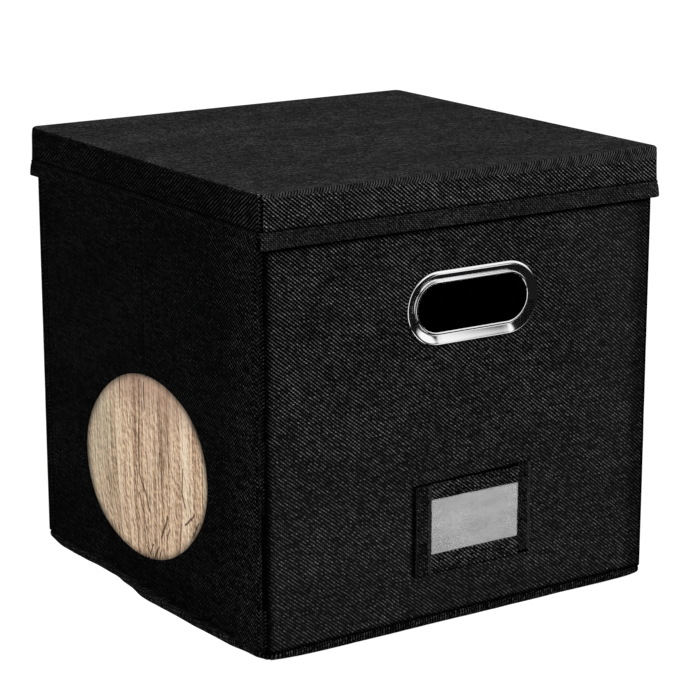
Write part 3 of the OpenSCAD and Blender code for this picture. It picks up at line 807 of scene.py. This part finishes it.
# the cloth's edge round the window is rolled in and sewn down
# section of that edge, in mm: outwards from the window's line, and depth from the wall's face
rim_section = [(0.2, 0.95), (-0.9, 0.95), (-1.5, 0.88), (-1.3, 0.7), (-0.6, 0.4), (0.2, 0.12),
               (1.2, -0.02), (2.4, -0.03), (2.4, 0.2), (1.0, 0.6)]
line = oval_outline()
window_rim = lofted("window_rim", [[
    (x + nx * out * MM, (deep + 0.06 * ripple((x, z, out), 11 * MM, 2)) * MM, z + nz * out * MM)
    for x, z, nx, nz in line] for out, deep in rim_section], joined=True, turn=0.78)
finished(window_rim, side_weave_painted_shade, 60)
set_on(joined_up(left_side_cloth, window_rim), "left")

right_side_cloth = wall_cloth("right_side_cloth", FOLD_GAP + HALF_W, 0.6 * MM, creased=True)
set_on(finished(right_side_cloth, side_weave_painted_shade, 50, 0), "right")


def crease_web(name, side, window=None):
    """Cloth between the two boards of a side wall, which closes the fold's edge; across the
    window the boards' own facing bridges the fold, a little deeper in."""
    steps = (-0.38, -0.19, 0, 0.19, 0.38)
    low, high = window or (0.12, 0.23)
    levels = [(WALL_Z0 + 1 * MM, 0.5)]
    for z, way in ((low, 1), (high, -1)):
        levels += [(z, 0.5), (z + way * 0.6 * MM, 1.05 if window else 0.5)]
    if window:
        levels[3], levels[4] = levels[4], levels[3]
    levels.append((BOX_H - 1 * MM, 0.5))
    made = lofted(name, [[(x * MM, deep * MM, z) for x in steps]
                         + [(x * MM, WALL_T - 0.1 * MM, z) for x in reversed(steps)]
                         for z, deep in levels], capped=True)
    finished(made, side_weave_painted_shade, 50)
    if window:
        made.data.materials.append(wood)
        for face in made.data.polygons:
            face.material_index = int(low < face.center.z < high)
    return set_on(made, side)


left_crease_web = crease_web("left_crease_web", "left", window=(32 * MM, 173 * MM))
right_crease_web = crease_web("right_crease_web", "right")


def corner_seam(name, side, way):
    """Folded cloth layers at a wall's end, with a ridge along their free edge."""
    half, foot = BOX_W / 2, WALL_T
    end = SEAM_LEN / MM
    plan = [(-4.4, 0), (-4.4, end), (-1.2, end), (-0.2, end), (0.25, end - 0.25),
            (0.35, end - 0.9), (0.3, end - 1.6), (-0.1, end - 2.1), (-0.75, end - 2.5),
            (-0.95, end - 3.3), (-0.9, 2.6), (-0.6, 1.0), (-0.25, 0.3), (-0.3, 0)]
    rings = []
    for k in range(66):
        z = WALL_Z0 + (BOX_H - WALL_Z0) * k / 65
        ring = []
        for n, (out, deep) in enumerate(plan):
            soft = float(3 <= n <= 12)      # the layers' ends are held and don't waver
            sway = soft * (0.12 * ripple((z, n * 0.3 * MM, 0), 9 * MM, 3)
                           + 0.1 * ripple((z, 0, 0), 40 * MM, way))
            ring.append((way * (half + (out + min(sway, 0.1)) * MM),
                         foot + min(deep + 0.5 * sway * soft, end) * MM, z))
        rings.append(ring)
    made = lofted(name, rings, capped=True)
    return set_on(finished(made, side_weave_painted_shade, 60), side)


CORNERS = (("front_left", "front", -1), ("front_right", "front", 1), ("back_left", "back", 1),
           ("back_right", "back", -1))
seams = {corner: corner_seam(corner + "_corner", side, way) for corner, side, way in CORNERS}


def fold_strip(name, side, way):
    """Outer cloth across a corner fold, between the seam and the side panel."""
    start = WALL_T + SEAM_LEN + 0.03 * MM
    steps = [start + (2 * FOLD_GAP - 0.06 * MM) * k / 6 for k in range(7)]
    plan = [(BOX_W / 2 - 0.25 * MM, y) for y in steps]
    plan += [(BOX_W / 2 - 1.0 * MM, y) for y in reversed(steps)]
    made = lofted(name, [[(way * x, y, z) for x, y in plan]
                         for z in (WALL_Z0 + 1 * MM, 0.12, 0.23, BOX_H - 1 * MM)], capped=True)
    return set_on(finished(made, side_weave_painted_shade, 50), side)


folds = {corner: fold_strip(corner + "_fold_cloth", side, way)
         for corner, side, way in CORNERS}


def lining_cloth(name, side, x0, x1, hole_x=None):
    """Lining on a wall's inner face from x0 to x1, with the hand opening at hole_x."""
    z0, z1 = WALL_Z0 + COVER_T, BOX_H - TURN_IN
    bpy.ops.mesh.primitive_grid_add(x_subdivisions=round((x1 - x0) / (7 * MM)),
                                    y_subdivisions=44, size=1, rotation=(-math.pi / 2, 0, 0))
    made = bpy.context.object
    made.scale = (x1 - x0, z1 - z0, 1)
    made.location = ((x0 + x1) / 2, WALL_T, (z0 + z1) / 2)
    settle(made)
    way = math.copysign(1, hole_x or 1)
    shift(made, lambda p: (0, (calm(way * p.x, p.z) if hole_x else 1.0) * 0.13 * MM
                           * (ripple(p, 30 * MM, 2) - 0.6), 0))
    thicken(made, LINING_T - 0.15 * MM)
    if hole_x:
        cut(made, slot_cutter(hole_x))
    return set_on(named(finished(made, lining_felt, 50, 0), name), side)


wide = BOX_W / 2 - 3 * MM
near, far = FOLD_GAP, FOLD_GAP + HALF_W - 1.2 * MM
front_lining = lining_cloth("front_lining_cloth", "front", -wide, wide, HANDLE_X)
back_lining = lining_cloth("back_lining_cloth", "back", -wide, wide, -HANDLE_X)
half_linings = {half: lining_cloth(half + "_lining_cloth", half.split("_")[0], x0, x1)
                for half, x0, x1 in (("left_back", -far, -near), ("left_front", near, far),
                                     ("right_back", near, far), ("right_front", -far, -near))}


# ---- floor and base panel ------------------------------------------------------------------
# how far the floor's roll stands out along the left side, in mm: (y, out)
HEM_SWELL = [(-170, 0), (-145, 0.3), (-114, 2.7), (-60, 5), (-3, 6.9), (29, 2.6), (55, 0),
             (78, 0.3), (103, 2.0), (136, 2.4), (165, 0)]


def hem_point(p, out, up, k):
    """A point of the rolled seam round the floor; out is from the walls' outer line."""
    x, y, nx, ny = p
    swell = 0.35 * ripple((x, y, k * 0.9 * MM), 13 * MM, 6) + 0.45 * ripple((x, y, 0), 38 * MM, 2)
    if nx < -0.5:
        for (y0, s0), (y1, s1) in zip(HEM_SWELL, HEM_SWELL[1:]):
            if y0 <= y / MM < y1:
                t = (y / MM - y0) / (y1 - y0)
                swell += s0 + (s1 - s0) * t * t * (3 - 2 * t)
    reach = 27 if x < 0 and y < 0 else 10
    corner = math.hypot(BOX_W / 2 - abs(x), BOX_D / 2 - abs(y)) / MM
    corner = math.exp(-(corner / reach) ** 2)
    lift = 0.0 if up < 0.6 else 0.25 * ripple((x, y, 0), 30 * MM, 9)
    if up < 6:              # and is drawn up at the corners
        lift += corner * 0.25 * (6.5 - up)
    if out > -3.5:
        out = min(out + swell, max(0.5, swell))
    return (x + nx * out * MM, y + ny * out * MM, min(max(up + lift, 0), 6.75) * MM)


def floor_line(inset, arc_steps, run_steps):
    """Outline of the floor; its front left corner is worn rounder than the others."""
    x, y, q = BOX_W / 2, BOX_D / 2, math.pi / 2
    arcs = [(way_x * (x - r * MM), way_y * (y - r * MM), r * MM - inset, k * q, k * q + q)
            for k, (way_x, way_y, r) in enumerate(FLOOR_CORNERS)]
    return outline(arcs, arc_steps, (run_steps, run_steps))


hem_line = floor_line(0, 12, 64)
hem_section = [(-4.4, 1.3), (-4.4, 5.9), (-3.2, 6.45), (-2.0, 6.5), (-0.9, 6.3), (-0.25, 5.7),
               (0, 4.7), (0.02, 3.4), (-0.1, 2.2), (-0.5, 1.0), (-1.2, 0.3), (-2.2, 0),
               (-3.3, 0), (-4.2, 0.3)]
floor_hem = lofted("floor_hem", [[hem_point(p, out, up, k) for p in hem_line]
                                 for k, (out, up) in enumerate(hem_section)],
                   joined=True, turn=math.radians(45))
finished(floor_hem, hem_weave, 70)

floor_rings = [[(x, y, z * MM) for x, y, _, _ in line] for line, z in [
    (floor_line(4.2 * MM, 6, 30), 0.15)] + [
    (rounded_rectangle(BOX_W, BOX_D, FLOOR_R, inset * MM, 6, 30), 0)
    for inset in (6, 20, 60, 110, 160)]]
floor_cloth = lofted("floor_cloth", floor_rings)
close(floor_cloth, lambda m: abs(m.x) < 0.02 and abs(m.y) < 0.02)
if sum(f.normal.z for f in floor_cloth.data.polygons) < 0:
    floor_cloth.data.flip_normals()
shift(floor_cloth, lambda p: (0, 0, 1.1 * MM + 0.08 * MM * ripple(p, 35 * MM)))
thicken(floor_cloth, 1.0 * MM)
finished(floor_cloth, lining_felt, 40, 0)

base_mid = (BASE_Y0 + BASE_Y1) / 2
wrap_rings = []         # from under the panel, round its edge, to the middle of its top
for inset, up in ((24, 0), (12, 0), (3, 0), (0.9, 0.02), (0.25, 0.25), (0, 0.9), (0, 3.1),
                  (0.25, 3.75), (0.9, 3.98), (3, 4), (8, 4), (18, 4), (35, 4), (60, 4), (90, 4),
                  (120, 4), (150, 4)):
    ring = []
    for x, y, _, _ in rounded_rectangle(BASE_W, BASE_Y1 - BASE_Y0, BASE_R, inset * MM, 8, 36):
        dip = 0.0 if inset < 3 or up < 4 else -0.1 * abs(ripple((x, y, 0), 40 * MM, 8))
        ring.append((x, y + base_mid, BASE_Z0 + (up + dip) * MM))
    wrap_rings.append(ring)
base_cloth = lofted("base_cloth", wrap_rings)
close(base_cloth, lambda m: m.z > BASE_Z0 + 3 * MM)
thicken(base_cloth, 0.45 * MM)
finished(base_cloth, lining_felt, 50, 0)

base_top = BASE_Z0 + BASE_T
tape = soft_strip("hinge_tape", (-160.2 * MM, BASE_Y1 + 0.45 * MM, base_top - 0.6 * MM),
                  (160.2 * MM, BASE_Y1 + 2.95 * MM, base_top), 0.2 * MM, 60, 0, 0.05 * MM)
finished(tape, ribbon_weave, 60, math.pi / 2)

tab_rings = []
for k in range(15):
    t = k / 14
    y = BASE_Y0 + (6 + 30 * t) * MM
    half = 11 * MM if t < 0.63 else 11 * MM * math.sqrt(max(1 - ((t - 0.63) / 0.37) ** 2, 0.02))
    z = base_top + 0.02 * MM
    ring = [(-half, y, z), (-half * 0.5, y, z), (half * 0.5, y, z), (half, y, z),
            (half, y, z + 0.42 * MM), (half * 0.9, y, z + 0.86 * MM),
            (0, y, z + (0.8 + 0.05 * math.sin(k)) * MM), (-half * 0.9, y, z + 0.86 * MM),
            (-half, y, z + 0.42 * MM)]
    tab_rings.append(ring)
pull_tab = lofted("pull_tab", tab_rings, capped=True)
finished(pull_tab, ribbon_weave, 60)


# ---- handles -------------------------------------------------------------------------------
def handle_frame(name, side, x):
    """Pressed frame: rolled rim, dish, bead at the lip and a collar through the wall."""
    line = outline([(SLOT_HALF_RUN, 0, SLOT_R, -math.pi / 2, math.pi / 2),
                    (-SLOT_HALF_RUN, 0, SLOT_R, math.pi / 2, 1.5 * math.pi)], 40, (12, 12))
    # sections in mm: outwards from the opening, and up from the wall's face
    bead = [(0, -5.6), (0, -3), (0, 0.4)]
    for k in range(8):
        a = math.radians(180 - 20 * k)
        bead.append((1.15 + 1.15 * math.cos(a), 1.15 + 1.15 * math.sin(a)))
    bead.append((2.22, 0.84))
    back = [(9.6, 0.6), (9.6, 0.02), (8.8, 0.02), (8.8, 1.2), (7.8, 1.4), (5.8, 0.6), (3.7, 0.02),
            (0.8, 0.02), (0.8, -5.6)]
    # the dish: how far across it, and how steep it is there
    slopes = ((0, 0), (0.04, 0.7), (0.12, 0.85), (0.3, 0.95), (0.5, 1), (0.7, 1.05), (0.85, 1.1),
              (0.93, 0.7), (1, 0))
    dish_rise = 2.4 / 0.896

    def profile(upward):
        """Bead, dish and rim; the rim is broader over the opening than under it."""
        crest = 7.6 - (0.7 if upward > 0 else 1.3) * upward
        points, level = list(bead), 0.8
        for (t0, s0), (t1, s1) in zip(slopes, slopes[1:]):
            level += dish_rise * (t1 - t0) * (s0 + s1) / 2
            points.append((2.3 + (crest - 2.3) * t1, level))
        radius = (9.55 - crest) / math.sin(math.radians(50))
        for k in range(1, 8):
            a = math.radians(50 * k / 7)
            points.append((crest + radius * math.sin(a), level - radius * (1 - math.cos(a))))
        return points + [(9.6, points[-1][1] - 0.12)] + back

    profiles = [profile(nz) for _, _, _, nz in line]
    rings = [[(x + px + nx * out * MM, -rise * MM, HANDLE_Z + pz + nz * out * MM)
              for (px, pz, nx, nz), (out, rise) in zip(line, level)]
             for level in zip(*profiles)]
    made = lofted(name, rings, joined=True)
    # three prongs over and three under the opening hold the ring on the inside
    for column in (-1, 0, 1):
        for way in (-1, 1):
            middle_x = x + column * 2 * SLOT_HALF_RUN * 0.42
            z0, z1 = sorted((HANDLE_Z + way * SLOT_R, HANDLE_Z + way * (SLOT_R + 5.4 * MM)))
            prong = block((middle_x - 3.5 * MM, WALL_T + 1.2 * MM, z0),
                          (middle_x + 3.5 * MM, WALL_T + 1.8 * MM, z1))
            with shaping(prong):
                choose(prong, "edges", lambda e: True)
                bpy.ops.mesh.bevel(offset=0.2 * MM, segments=2, affect="EDGES")
            joined_up(made, prong)
    return set_on(finished(made, chrome, 40), side)


front_frame = handle_frame("front_handle_plate", "front", HANDLE_X)
back_frame = handle_frame("back_handle_plate", "back", -HANDLE_X)


# ---- label pocket --------------------------------------------------------------------------
def label_strip(name, x0, x1, z0, z1, cuts, axis, finish, pocket=True):
    """Edging strip of the label pocket, drawn on the front wall in mm; the pocket's own
    strips are hollowed behind for the pane, and the top one lies over it."""
    back, edge = (-0.02, 0.45) if pocket else (-1.5, 0.25)
    made = soft_strip(name, (x0 * MM, -2.2 * MM, z0 * MM), (x1 * MM, back * MM, z1 * MM),
                      edge * MM, cuts, axis, 0.22 * MM)
    if pocket:
        cut(made, block((-34.8 * MM, -1.5 * MM, 51.2 * MM), (52.8 * MM, 1 * MM, 160 * MM)))
    if axis == 2:       # the cut edges fray a little
        shift(made, lambda p: (0.35 * MM * ripple((0, 0, p.z), 2.6 * MM, p.x), 0, 0))
    return set_on(finished(made, finish, 50, 0), "front")


label_strips = {edge: label_strip("label_edging_" + edge, *rest) for edge, *rest in (
    ("left", -43.5, -30.5, 40.5, 108.5, 44, 2, strap_weave),
    ("right", 48.5, 59.5, 43.5, 111.5, 44, 2, strap_weave),
    ("top", -30.6, 48.6, 97.5, 109.5, 16, 0, edge_weave, False),
    ("bottom", -30.6, 48.6, 41.5, 55.5, 16, 0, edge_weave))}

sew_y = -BOX_D / 2 - 2.25 * MM
label_thread = stitches("label_stitches", [
    ((a * MM, sew_y, b * MM), (c * MM, sew_y, d * MM))
    for a, b, c, d in ((-41.8, 42, -41.8, 107), (58, 45, 58, 110), (-29.5, 43.2, 47.5, 43.2),
                       (-32.1, 42, -32.1, 107), (50, 45, 50, 110), (-29.5, 108, 47.5, 108))])


# ---- lid -----------------------------------------------------------------------------------
def lid_flare(x, y, z):
    """How far the skirt stands off at a place; most at its lower edge and corners."""
    low = max(0.0, min(1.0, (LID_TOP - 6 * MM - z) / (30 * MM)))
    corner = max(abs(x) / (LID_W / 2), 0) ** 14 * max(abs(y) / (LID_D / 2), 0) ** 14
    return (0.45 * ripple((x, y, z * 0.6), 42 * MM, 5) + 0.25 * ripple((x, y, z), 14 * MM, 8)
            + 0.9 * low * corner + 0.25 * low) * MM * (0.25 + 0.75 * low)


# rings up the skirt, over the shoulder and in over the top, in mm: inset and height
lid_rings = []
skirt = [(0, z) for z in (300.5, 303, 306, 308.5, 311, 312.4, 315, 319, 323, 327, 331, 334,
                          335.4)]
shoulder = [(2.6 - 2.6 * math.cos(math.radians(a)), 335.3 + 2.6 * math.sin(math.radians(a)))
            for a in (15, 30, 45, 60, 75, 90)]
top = [(inset, 337.9) for inset in (4.5, 8, 14, 22, 33, 47, 64, 84, 106, 130, 152, 166)]
for inset, z in skirt + shoulder + top:
    ring = []
    for x, y, nx, ny in rounded_rectangle(LID_W, LID_D, LID_R, inset * MM, 18, 62):
        z_here, out = z * MM, 0.0
        if inset < 3:
            out = lid_flare(x, y, z_here) * (1 - inset / 3)
            # the skirt's cloth is sewn together down each corner
            slant = abs(abs(math.degrees(math.atan2(ny, nx))) % 90 - 45)
            seam = math.exp(-(slant / 7) ** 2) - 0.45 * math.exp(-((slant - 19) / 9) ** 2)
            fade = max(0.0, min(1.0, (335.5 - z) / 4))
            out -= 0.85 * MM * seam * fade if abs(nx * ny) > 1e-3 else 0.0
        else:
            z_here += 0.22 * MM * ripple((x, y, 0), 55 * MM, 3) - 0.12 * MM
        ring.append((x + nx * out, y + ny * out, z_here))
    lid_rings.append(ring)
lid_cloth = lofted("lid_cloth", lid_rings)
close(lid_cloth, lambda m: m.z > 0.33)
if max(lid_cloth.data.polygons, key=lambda f: f.center.z).normal.z < 0:
    lid_cloth.data.flip_normals()
thicken(lid_cloth, 0.85 * MM)
finished(lid_cloth, lid_weave, 60, 0)
dress_sides(lid_cloth)

# section of the skirt's edging, in mm: inset, and height over the lid's lower edge
binding_section = [(0.35, 0.15), (0.05, 0.7), (0, 2), (-0.05, 5), (0, 8.2), (0.12, 9.1),
                   (0.5, 9.7), (0.5, 10.1), (0.15, 10.7), (0.1, 11.4), (0.35, 11.9),
                   (0.75, 11.9), (0.95, 11.3), (0.95, 1.0), (3.3, 1.0), (3.3, 7.2),
                   (3.68, 7.2), (3.7, 0.4), (3.4, 0), (2, 0), (0.9, 0)]
binding_rings = []
for inset, up in binding_section:
    ring = []
    for x, y, nx, ny in rounded_rectangle(LID_W + 1.8 * MM, LID_D + 1.8 * MM,
                                          LID_R + 0.9 * MM, inset * MM, 18, 70):
        z = LID_Z0 + up * MM
        out = 0.0
        if inset < 1.5:     # the outer faces follow the skirt and flare at the corners
            corner = (abs(x) / (LID_W / 2)) ** 20 * (abs(y) / (LID_D / 2)) ** 20
            out = lid_flare(x, y, z) + 1.1 * MM * min(corner, 1.0) * (1 - up / 11.9)
        if inset < 0.9:
            out += 0.12 * MM * ripple((x, y, z), 6 * MM, 7)
        ring.append((x + nx * out, y + ny * out, z))
    binding_rings.append(ring)
lid_binding = lofted("lid_edging", binding_rings, joined=True, turn=math.radians(8))
finished(lid_binding, lid_hem_weave, 60)
dress_sides(lid_binding)

sew_z = LID_Z0 + 9.9 * MM
sx, sy = LID_W / 2 + 0.55 * MM, LID_D / 2 + 0.55 * MM
ex, ey = LID_W / 2 - 9 * MM, LID_D / 2 - 9 * MM
lid_thread = stitches("lid_stitches", [
    ((-ex, -sy, sew_z), (ex, -sy, sew_z)), ((sx, -ey, sew_z), (sx, ey, sew_z)),
    ((ex, sy, sew_z), (-ex, sy, sew_z)), ((-sx, ey, sew_z), (-sx, -ey, sew_z))])
shift(lid_thread, lambda p: (
    (math.copysign(lid_flare(p.x, p.y, p.z), p.x) if abs(p.x) > ex + 3 * MM else 0),
    (math.copysign(lid_flare(p.x, p.y, p.z), p.y) if abs(p.y) > ey + 3 * MM else 0), 0))

lid_lining = block((-172.7 * MM, -168.7 * MM, 306.8 * MM), (172.7 * MM, 168.7 * MM, 334.4 * MM))
with shaping(lid_lining):
    bpy.ops.mesh.select_mode(type="FACE")
    choose(lid_lining, "faces", lambda f: f.normal.z < -0.5)
    bpy.ops.mesh.delete(type="FACE")
    bpy.ops.mesh.select_mode(type="EDGE")
    choose(lid_lining, "edges", lambda e: rise(e) < MM)
    bpy.ops.mesh.subdivide(number_cuts=40)
    choose(lid_lining, "edges", lambda e: len(e.link_faces) == 2 and e.calc_face_angle() > 1)
    bpy.ops.mesh.bevel(offset=1.2 * MM, segments=3, affect="EDGES")
    bpy.ops.mesh.select_all(action="SELECT")
    bpy.ops.mesh.flip_normals()
shift(lid_lining, lambda p: (0, 0, 0.12 * MM * (ripple(p, 45 * MM, 3) + 0.5)
                             if p.z > 334 * MM else 0))
thicken(lid_lining, 0.35 * MM)
named(finished(lid_lining, lining_felt, 50, 0), "lid_lining_cloth")

# ---- what moves with what ------------------------------------------------------------------
for body, slot, pieces in (
    ("front_wall", "cover_cloth", (
        (front_cloth, "front_cover"), (seams["front_left"], "front_left_seam"),
        (seams["front_right"], "front_right_seam"), (folds["front_right"],))),
    ("front_wall", "lining", ((front_lining, "front_lining"),)),
    ("front_wall", "handle_metal", ((front_frame, "front_handle_frame"),)),
    ("front_wall", "binding", (
        *((strip, "label_strip_" + edge) for edge, strip in label_strips.items()),
        (label_thread,))),
    ("case_back", "cover_cloth", (
        (back_cloth, "back_cover"), (seams["back_left"], "back_left_seam"),
        (seams["back_right"], "back_right_seam"), (floor_hem, "floor_cover"),
        (floor_cloth, "floor_cover"))),
    ("case_back", "lining", ((back_lining, "back_lining"),)),
    ("case_back", "handle_metal", ((back_frame, "back_handle_frame"),)),
    ("case_back", "ribbon", ((tape, "base_hinge_tape"),)),
    ("base_panel", "lining", ((base_cloth, "base_wrap"),)),
    ("base_panel", "ribbon", ((pull_tab, "base_pull_tab"),)),
    ("lid", "cover_cloth", ((lid_cloth, "lid_cover"),)),
    ("lid", "binding", ((lid_binding, "lid_binding"), (lid_thread,))),
    ("lid", "lining", ((lid_lining, "lid_lining"),)),
):
    for piece, *nodes in pieces:
        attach(piece, body)
        if nodes:
            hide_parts(*nodes)
for half, piece in half_linings.items():
    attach(piece, half + "_half")
    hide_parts(half + "_lining")
for name, cloth, web, x in (("left", left_side_cloth, left_crease_web, -BOX_W / 2),
                            ("right", right_side_cloth, right_crease_web, BOX_W / 2)):
    for piece in (cloth, web):
        name + "_back_half"
        name + "_front_half"
        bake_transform(piece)
    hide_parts(name + "_back_cover", name + "_front_cover")
fold_y = BOX_D / 2 - WALL_T - SEAM_LEN
for corner, body, way_x, way_y in (("front_left", "front_wall", -1, -1),
                                   ("back_left", "case_back", -1, 1),
                                   ("back_right", "case_back", 1, 1)):
    x, y = way_x * BOX_W / 2, way_y * fold_y
    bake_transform(folds[corner], body, corner.split("_")[1] + "_" + corner.split("_")[0] + "_half",
             start=(x, y, 0), end=(x, y - way_y * 2 * FOLD_GAP, 0))
for piece in (floor_hem, floor_cloth):
    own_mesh(piece)

for name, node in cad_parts.items():
    for part, finish in (("board", wood), ("ring", ring_steel), ("pane", film),
                         ("card", card_finish)):
        if part in name.split("_"):
            dress(node, finish)

# what each cloth was cut to, in mm, before its edges were turned round
for piece, width, length, on in (
    (front_cloth, 352.8, 349.8, "front_board"), (back_cloth, 352.8, 349.8, "back_board"),
    (left_side_cloth, 318.2, 349.8, "left_back_board"),
    (right_side_cloth, 318.2, 349.8, "right_back_board"),
    (lid_cloth, 425.8, 417.8, "lid_board"), (floor_cloth, 335.6, 327.6, "floor_hem"),
    (front_lining, 338, 312.1, "front_board"), (back_lining, 338, 312.1, "back_board"),
    (base_cloth, 388, 379, "base_board"), (lid_lining, 400.6, 392.6, "lid_board"),
):
    width * MM
    length * MM
for half, piece in half_linings.items():
    half + "_board"

# ---- camera, floor and light ---------------------------------------------------------------
eye, target = Vector((-1.0239, -1.5503, 0.6514)), Vector((0.0115, 0, 0.1672))
camera = bpy.data.objects.new("camera", bpy.data.cameras.new("camera"))
bpy.context.scene.collection.objects.link(camera)
camera.data.lens, camera.data.sensor_width = 126.46, 36
camera.location = eye
camera.rotation_euler = (target - eye).to_track_quat("-Z", "Y").to_euler()
bpy.context.scene.camera = camera


def lamp(name, place, size, level):
    """A square soft lamp; level is what a white surface that faces it on the case renders as."""
    place, aim = Vector(place), Vector((0, 0, 0.17))
    data = bpy.data.lights.new(name, "AREA")
    data.shape, data.size = "SQUARE", size
    data.energy = level * math.pi * math.pi * (aim - place).length_squared
    made = bpy.data.objects.new(name, data)
    made.location = place
    made.rotation_euler = (aim - place).to_track_quat("-Z", "Y").to_euler()
    bpy.context.scene.collection.objects.link(made)
    made.visible_glossy = False


lamp("key lamp", (0.1, -2.3, 2.0), 1.2, 0.68)
lamp("top lamp", (0.1, 0.3, 2.8), 1.4, 0.20)
lamp("left lamp", (-2.6, 0.1, 1.1), 1.2, 0.40)


def plain(name, level):
    return Finish(name, Roughness=1.0, Specular_IOR_Level=0.0,
                  Base_Color=(level, level, level, 1))


def is_seen(tree):
    """1 for the camera's rays and for what metal and film show."""
    made = tree.nodes.new("ShaderNodeLightPath")
    seen = Value(tree, made.outputs["Is Camera Ray"])
    for path in ("Is Glossy Ray", "Is Transmission Ray"):
        seen = seen.most(Value(tree, made.outputs[path]))
    return seen


bpy.ops.mesh.primitive_plane_add(size=30, location=(0, 0, -0.2 * MM))
ground = settle(bpy.context.object)
ground_finish = plain("pale ground", 0.8)
tree = ground_finish.tree
glow = ground_finish.node("ShaderNodeEmission", inputs={"Color": (1, 1, 1, 1), "Strength": 1.2})
mixed = ground_finish.node("ShaderNodeMixShader")
feed(tree, mixed.socket.node.inputs[0], is_seen(tree) * 0.82)
tree.links.new(ground_finish.shader.outputs[0], mixed.socket.node.inputs[1])
tree.links.new(glow.socket, mixed.socket.node.inputs[2])
out = next(n for n in tree.nodes if n.type == "OUTPUT_MATERIAL")
tree.links.new(mixed.socket, out.inputs["Surface"])
named(dress(ground, ground_finish.material), "ground")

# A dark surround that only shows in the metal, drawn as angles seen from the handle. For each
# compass angle, from the front towards the right, the height up to which it is dark:
DARK_TO = [(-180, 4), (-100, 1), (-85, 2), (-70, 20), (-40, 42), (10, 40), (26, 34), (28, 27),
           (30, 23), (32, 18), (34, 11), (34.9, 6), (36.1, 12), (37.5, 17.5), (38.9, 20.5),
           (40.9, 22), (43.6, 20), (46, 14), (50, 6), (55, 3), (75, 3), (79, 14), (112, 14),
           (125, 4), (180, 4)]
# and the places where it is open below that: compass from and to, height from and to
OPEN_AT = [(-128, -48, -38, 70), (31.5, 38.5, -9, 9), (-200, 2, -95, -49),
           (108, 140, -30, -17)]
REACH = 2.9
flat_rings = [(0.01 * r, -0.1 * MM) for r in (1, 30, 290)]
dome_rings = [(REACH * math.cos(math.radians(up)), max(REACH * math.sin(math.radians(up)), 0.01))
              for up in range(0, 66, 5)]
rings = [[(r * math.sin(k * math.pi / 60), -r * math.cos(k * math.pi / 60), z)
          for k in range(120)] for r, z in flat_rings + dome_rings]
surround = lofted("dark_surround", rings)
dark = plain("dark surround", 0.01)
x, y, z = dark.in_space()
x, y, z = x - HANDLE_X, y + BOX_D / 2, z - HANDLE_Z
degrees = 180 / math.pi
compass = x.step("ARCTAN2", x, -1 * y) * degrees
height = z.step("ARCTAN2", z, (x * x + y * y) ** 0.5) * degrees
limit = dark.ramp(compass / 360 + 0.5, [((a + 180) / 360, (h / 60,) * 3) for a, h in DARK_TO])
limit = dark.split(limit)[0] * 60
shut = 1 - dark.between(height - limit, -4.0, 4.0)
for first, last, low, high in OPEN_AT:
    inside = dark.between(compass, first - 1.5, first + 1.5) * dark.between(
        compass, last + 1.5, last - 1.5) * dark.between(height, low - 2.5, low + 2.5)
    shut = shut * (1 - inside * dark.between(height, high + 2.5, high - 2.5))
dark.surface({"Alpha": shut})
finished(surround, dark.material, 180)
surround.visible_camera = surround.visible_diffuse = surround.visible_shadow = False
surround.visible_transmission = surround.visible_volume_scatter = False

world = bpy.data.worlds.new("studio")
bpy.context.scene.world = world
world.use_nodes = True
sky = next(n for n in world.node_tree.nodes if n.type == "BACKGROUND")
sky.inputs["Color"].default_value = (1, 1, 1, 1)
feed(world.node_tree, sky.inputs["Strength"], is_seen(world.node_tree) * 0.85 + 0.15)
bpy.context.scene.view_settings.view_transform = "Standard"
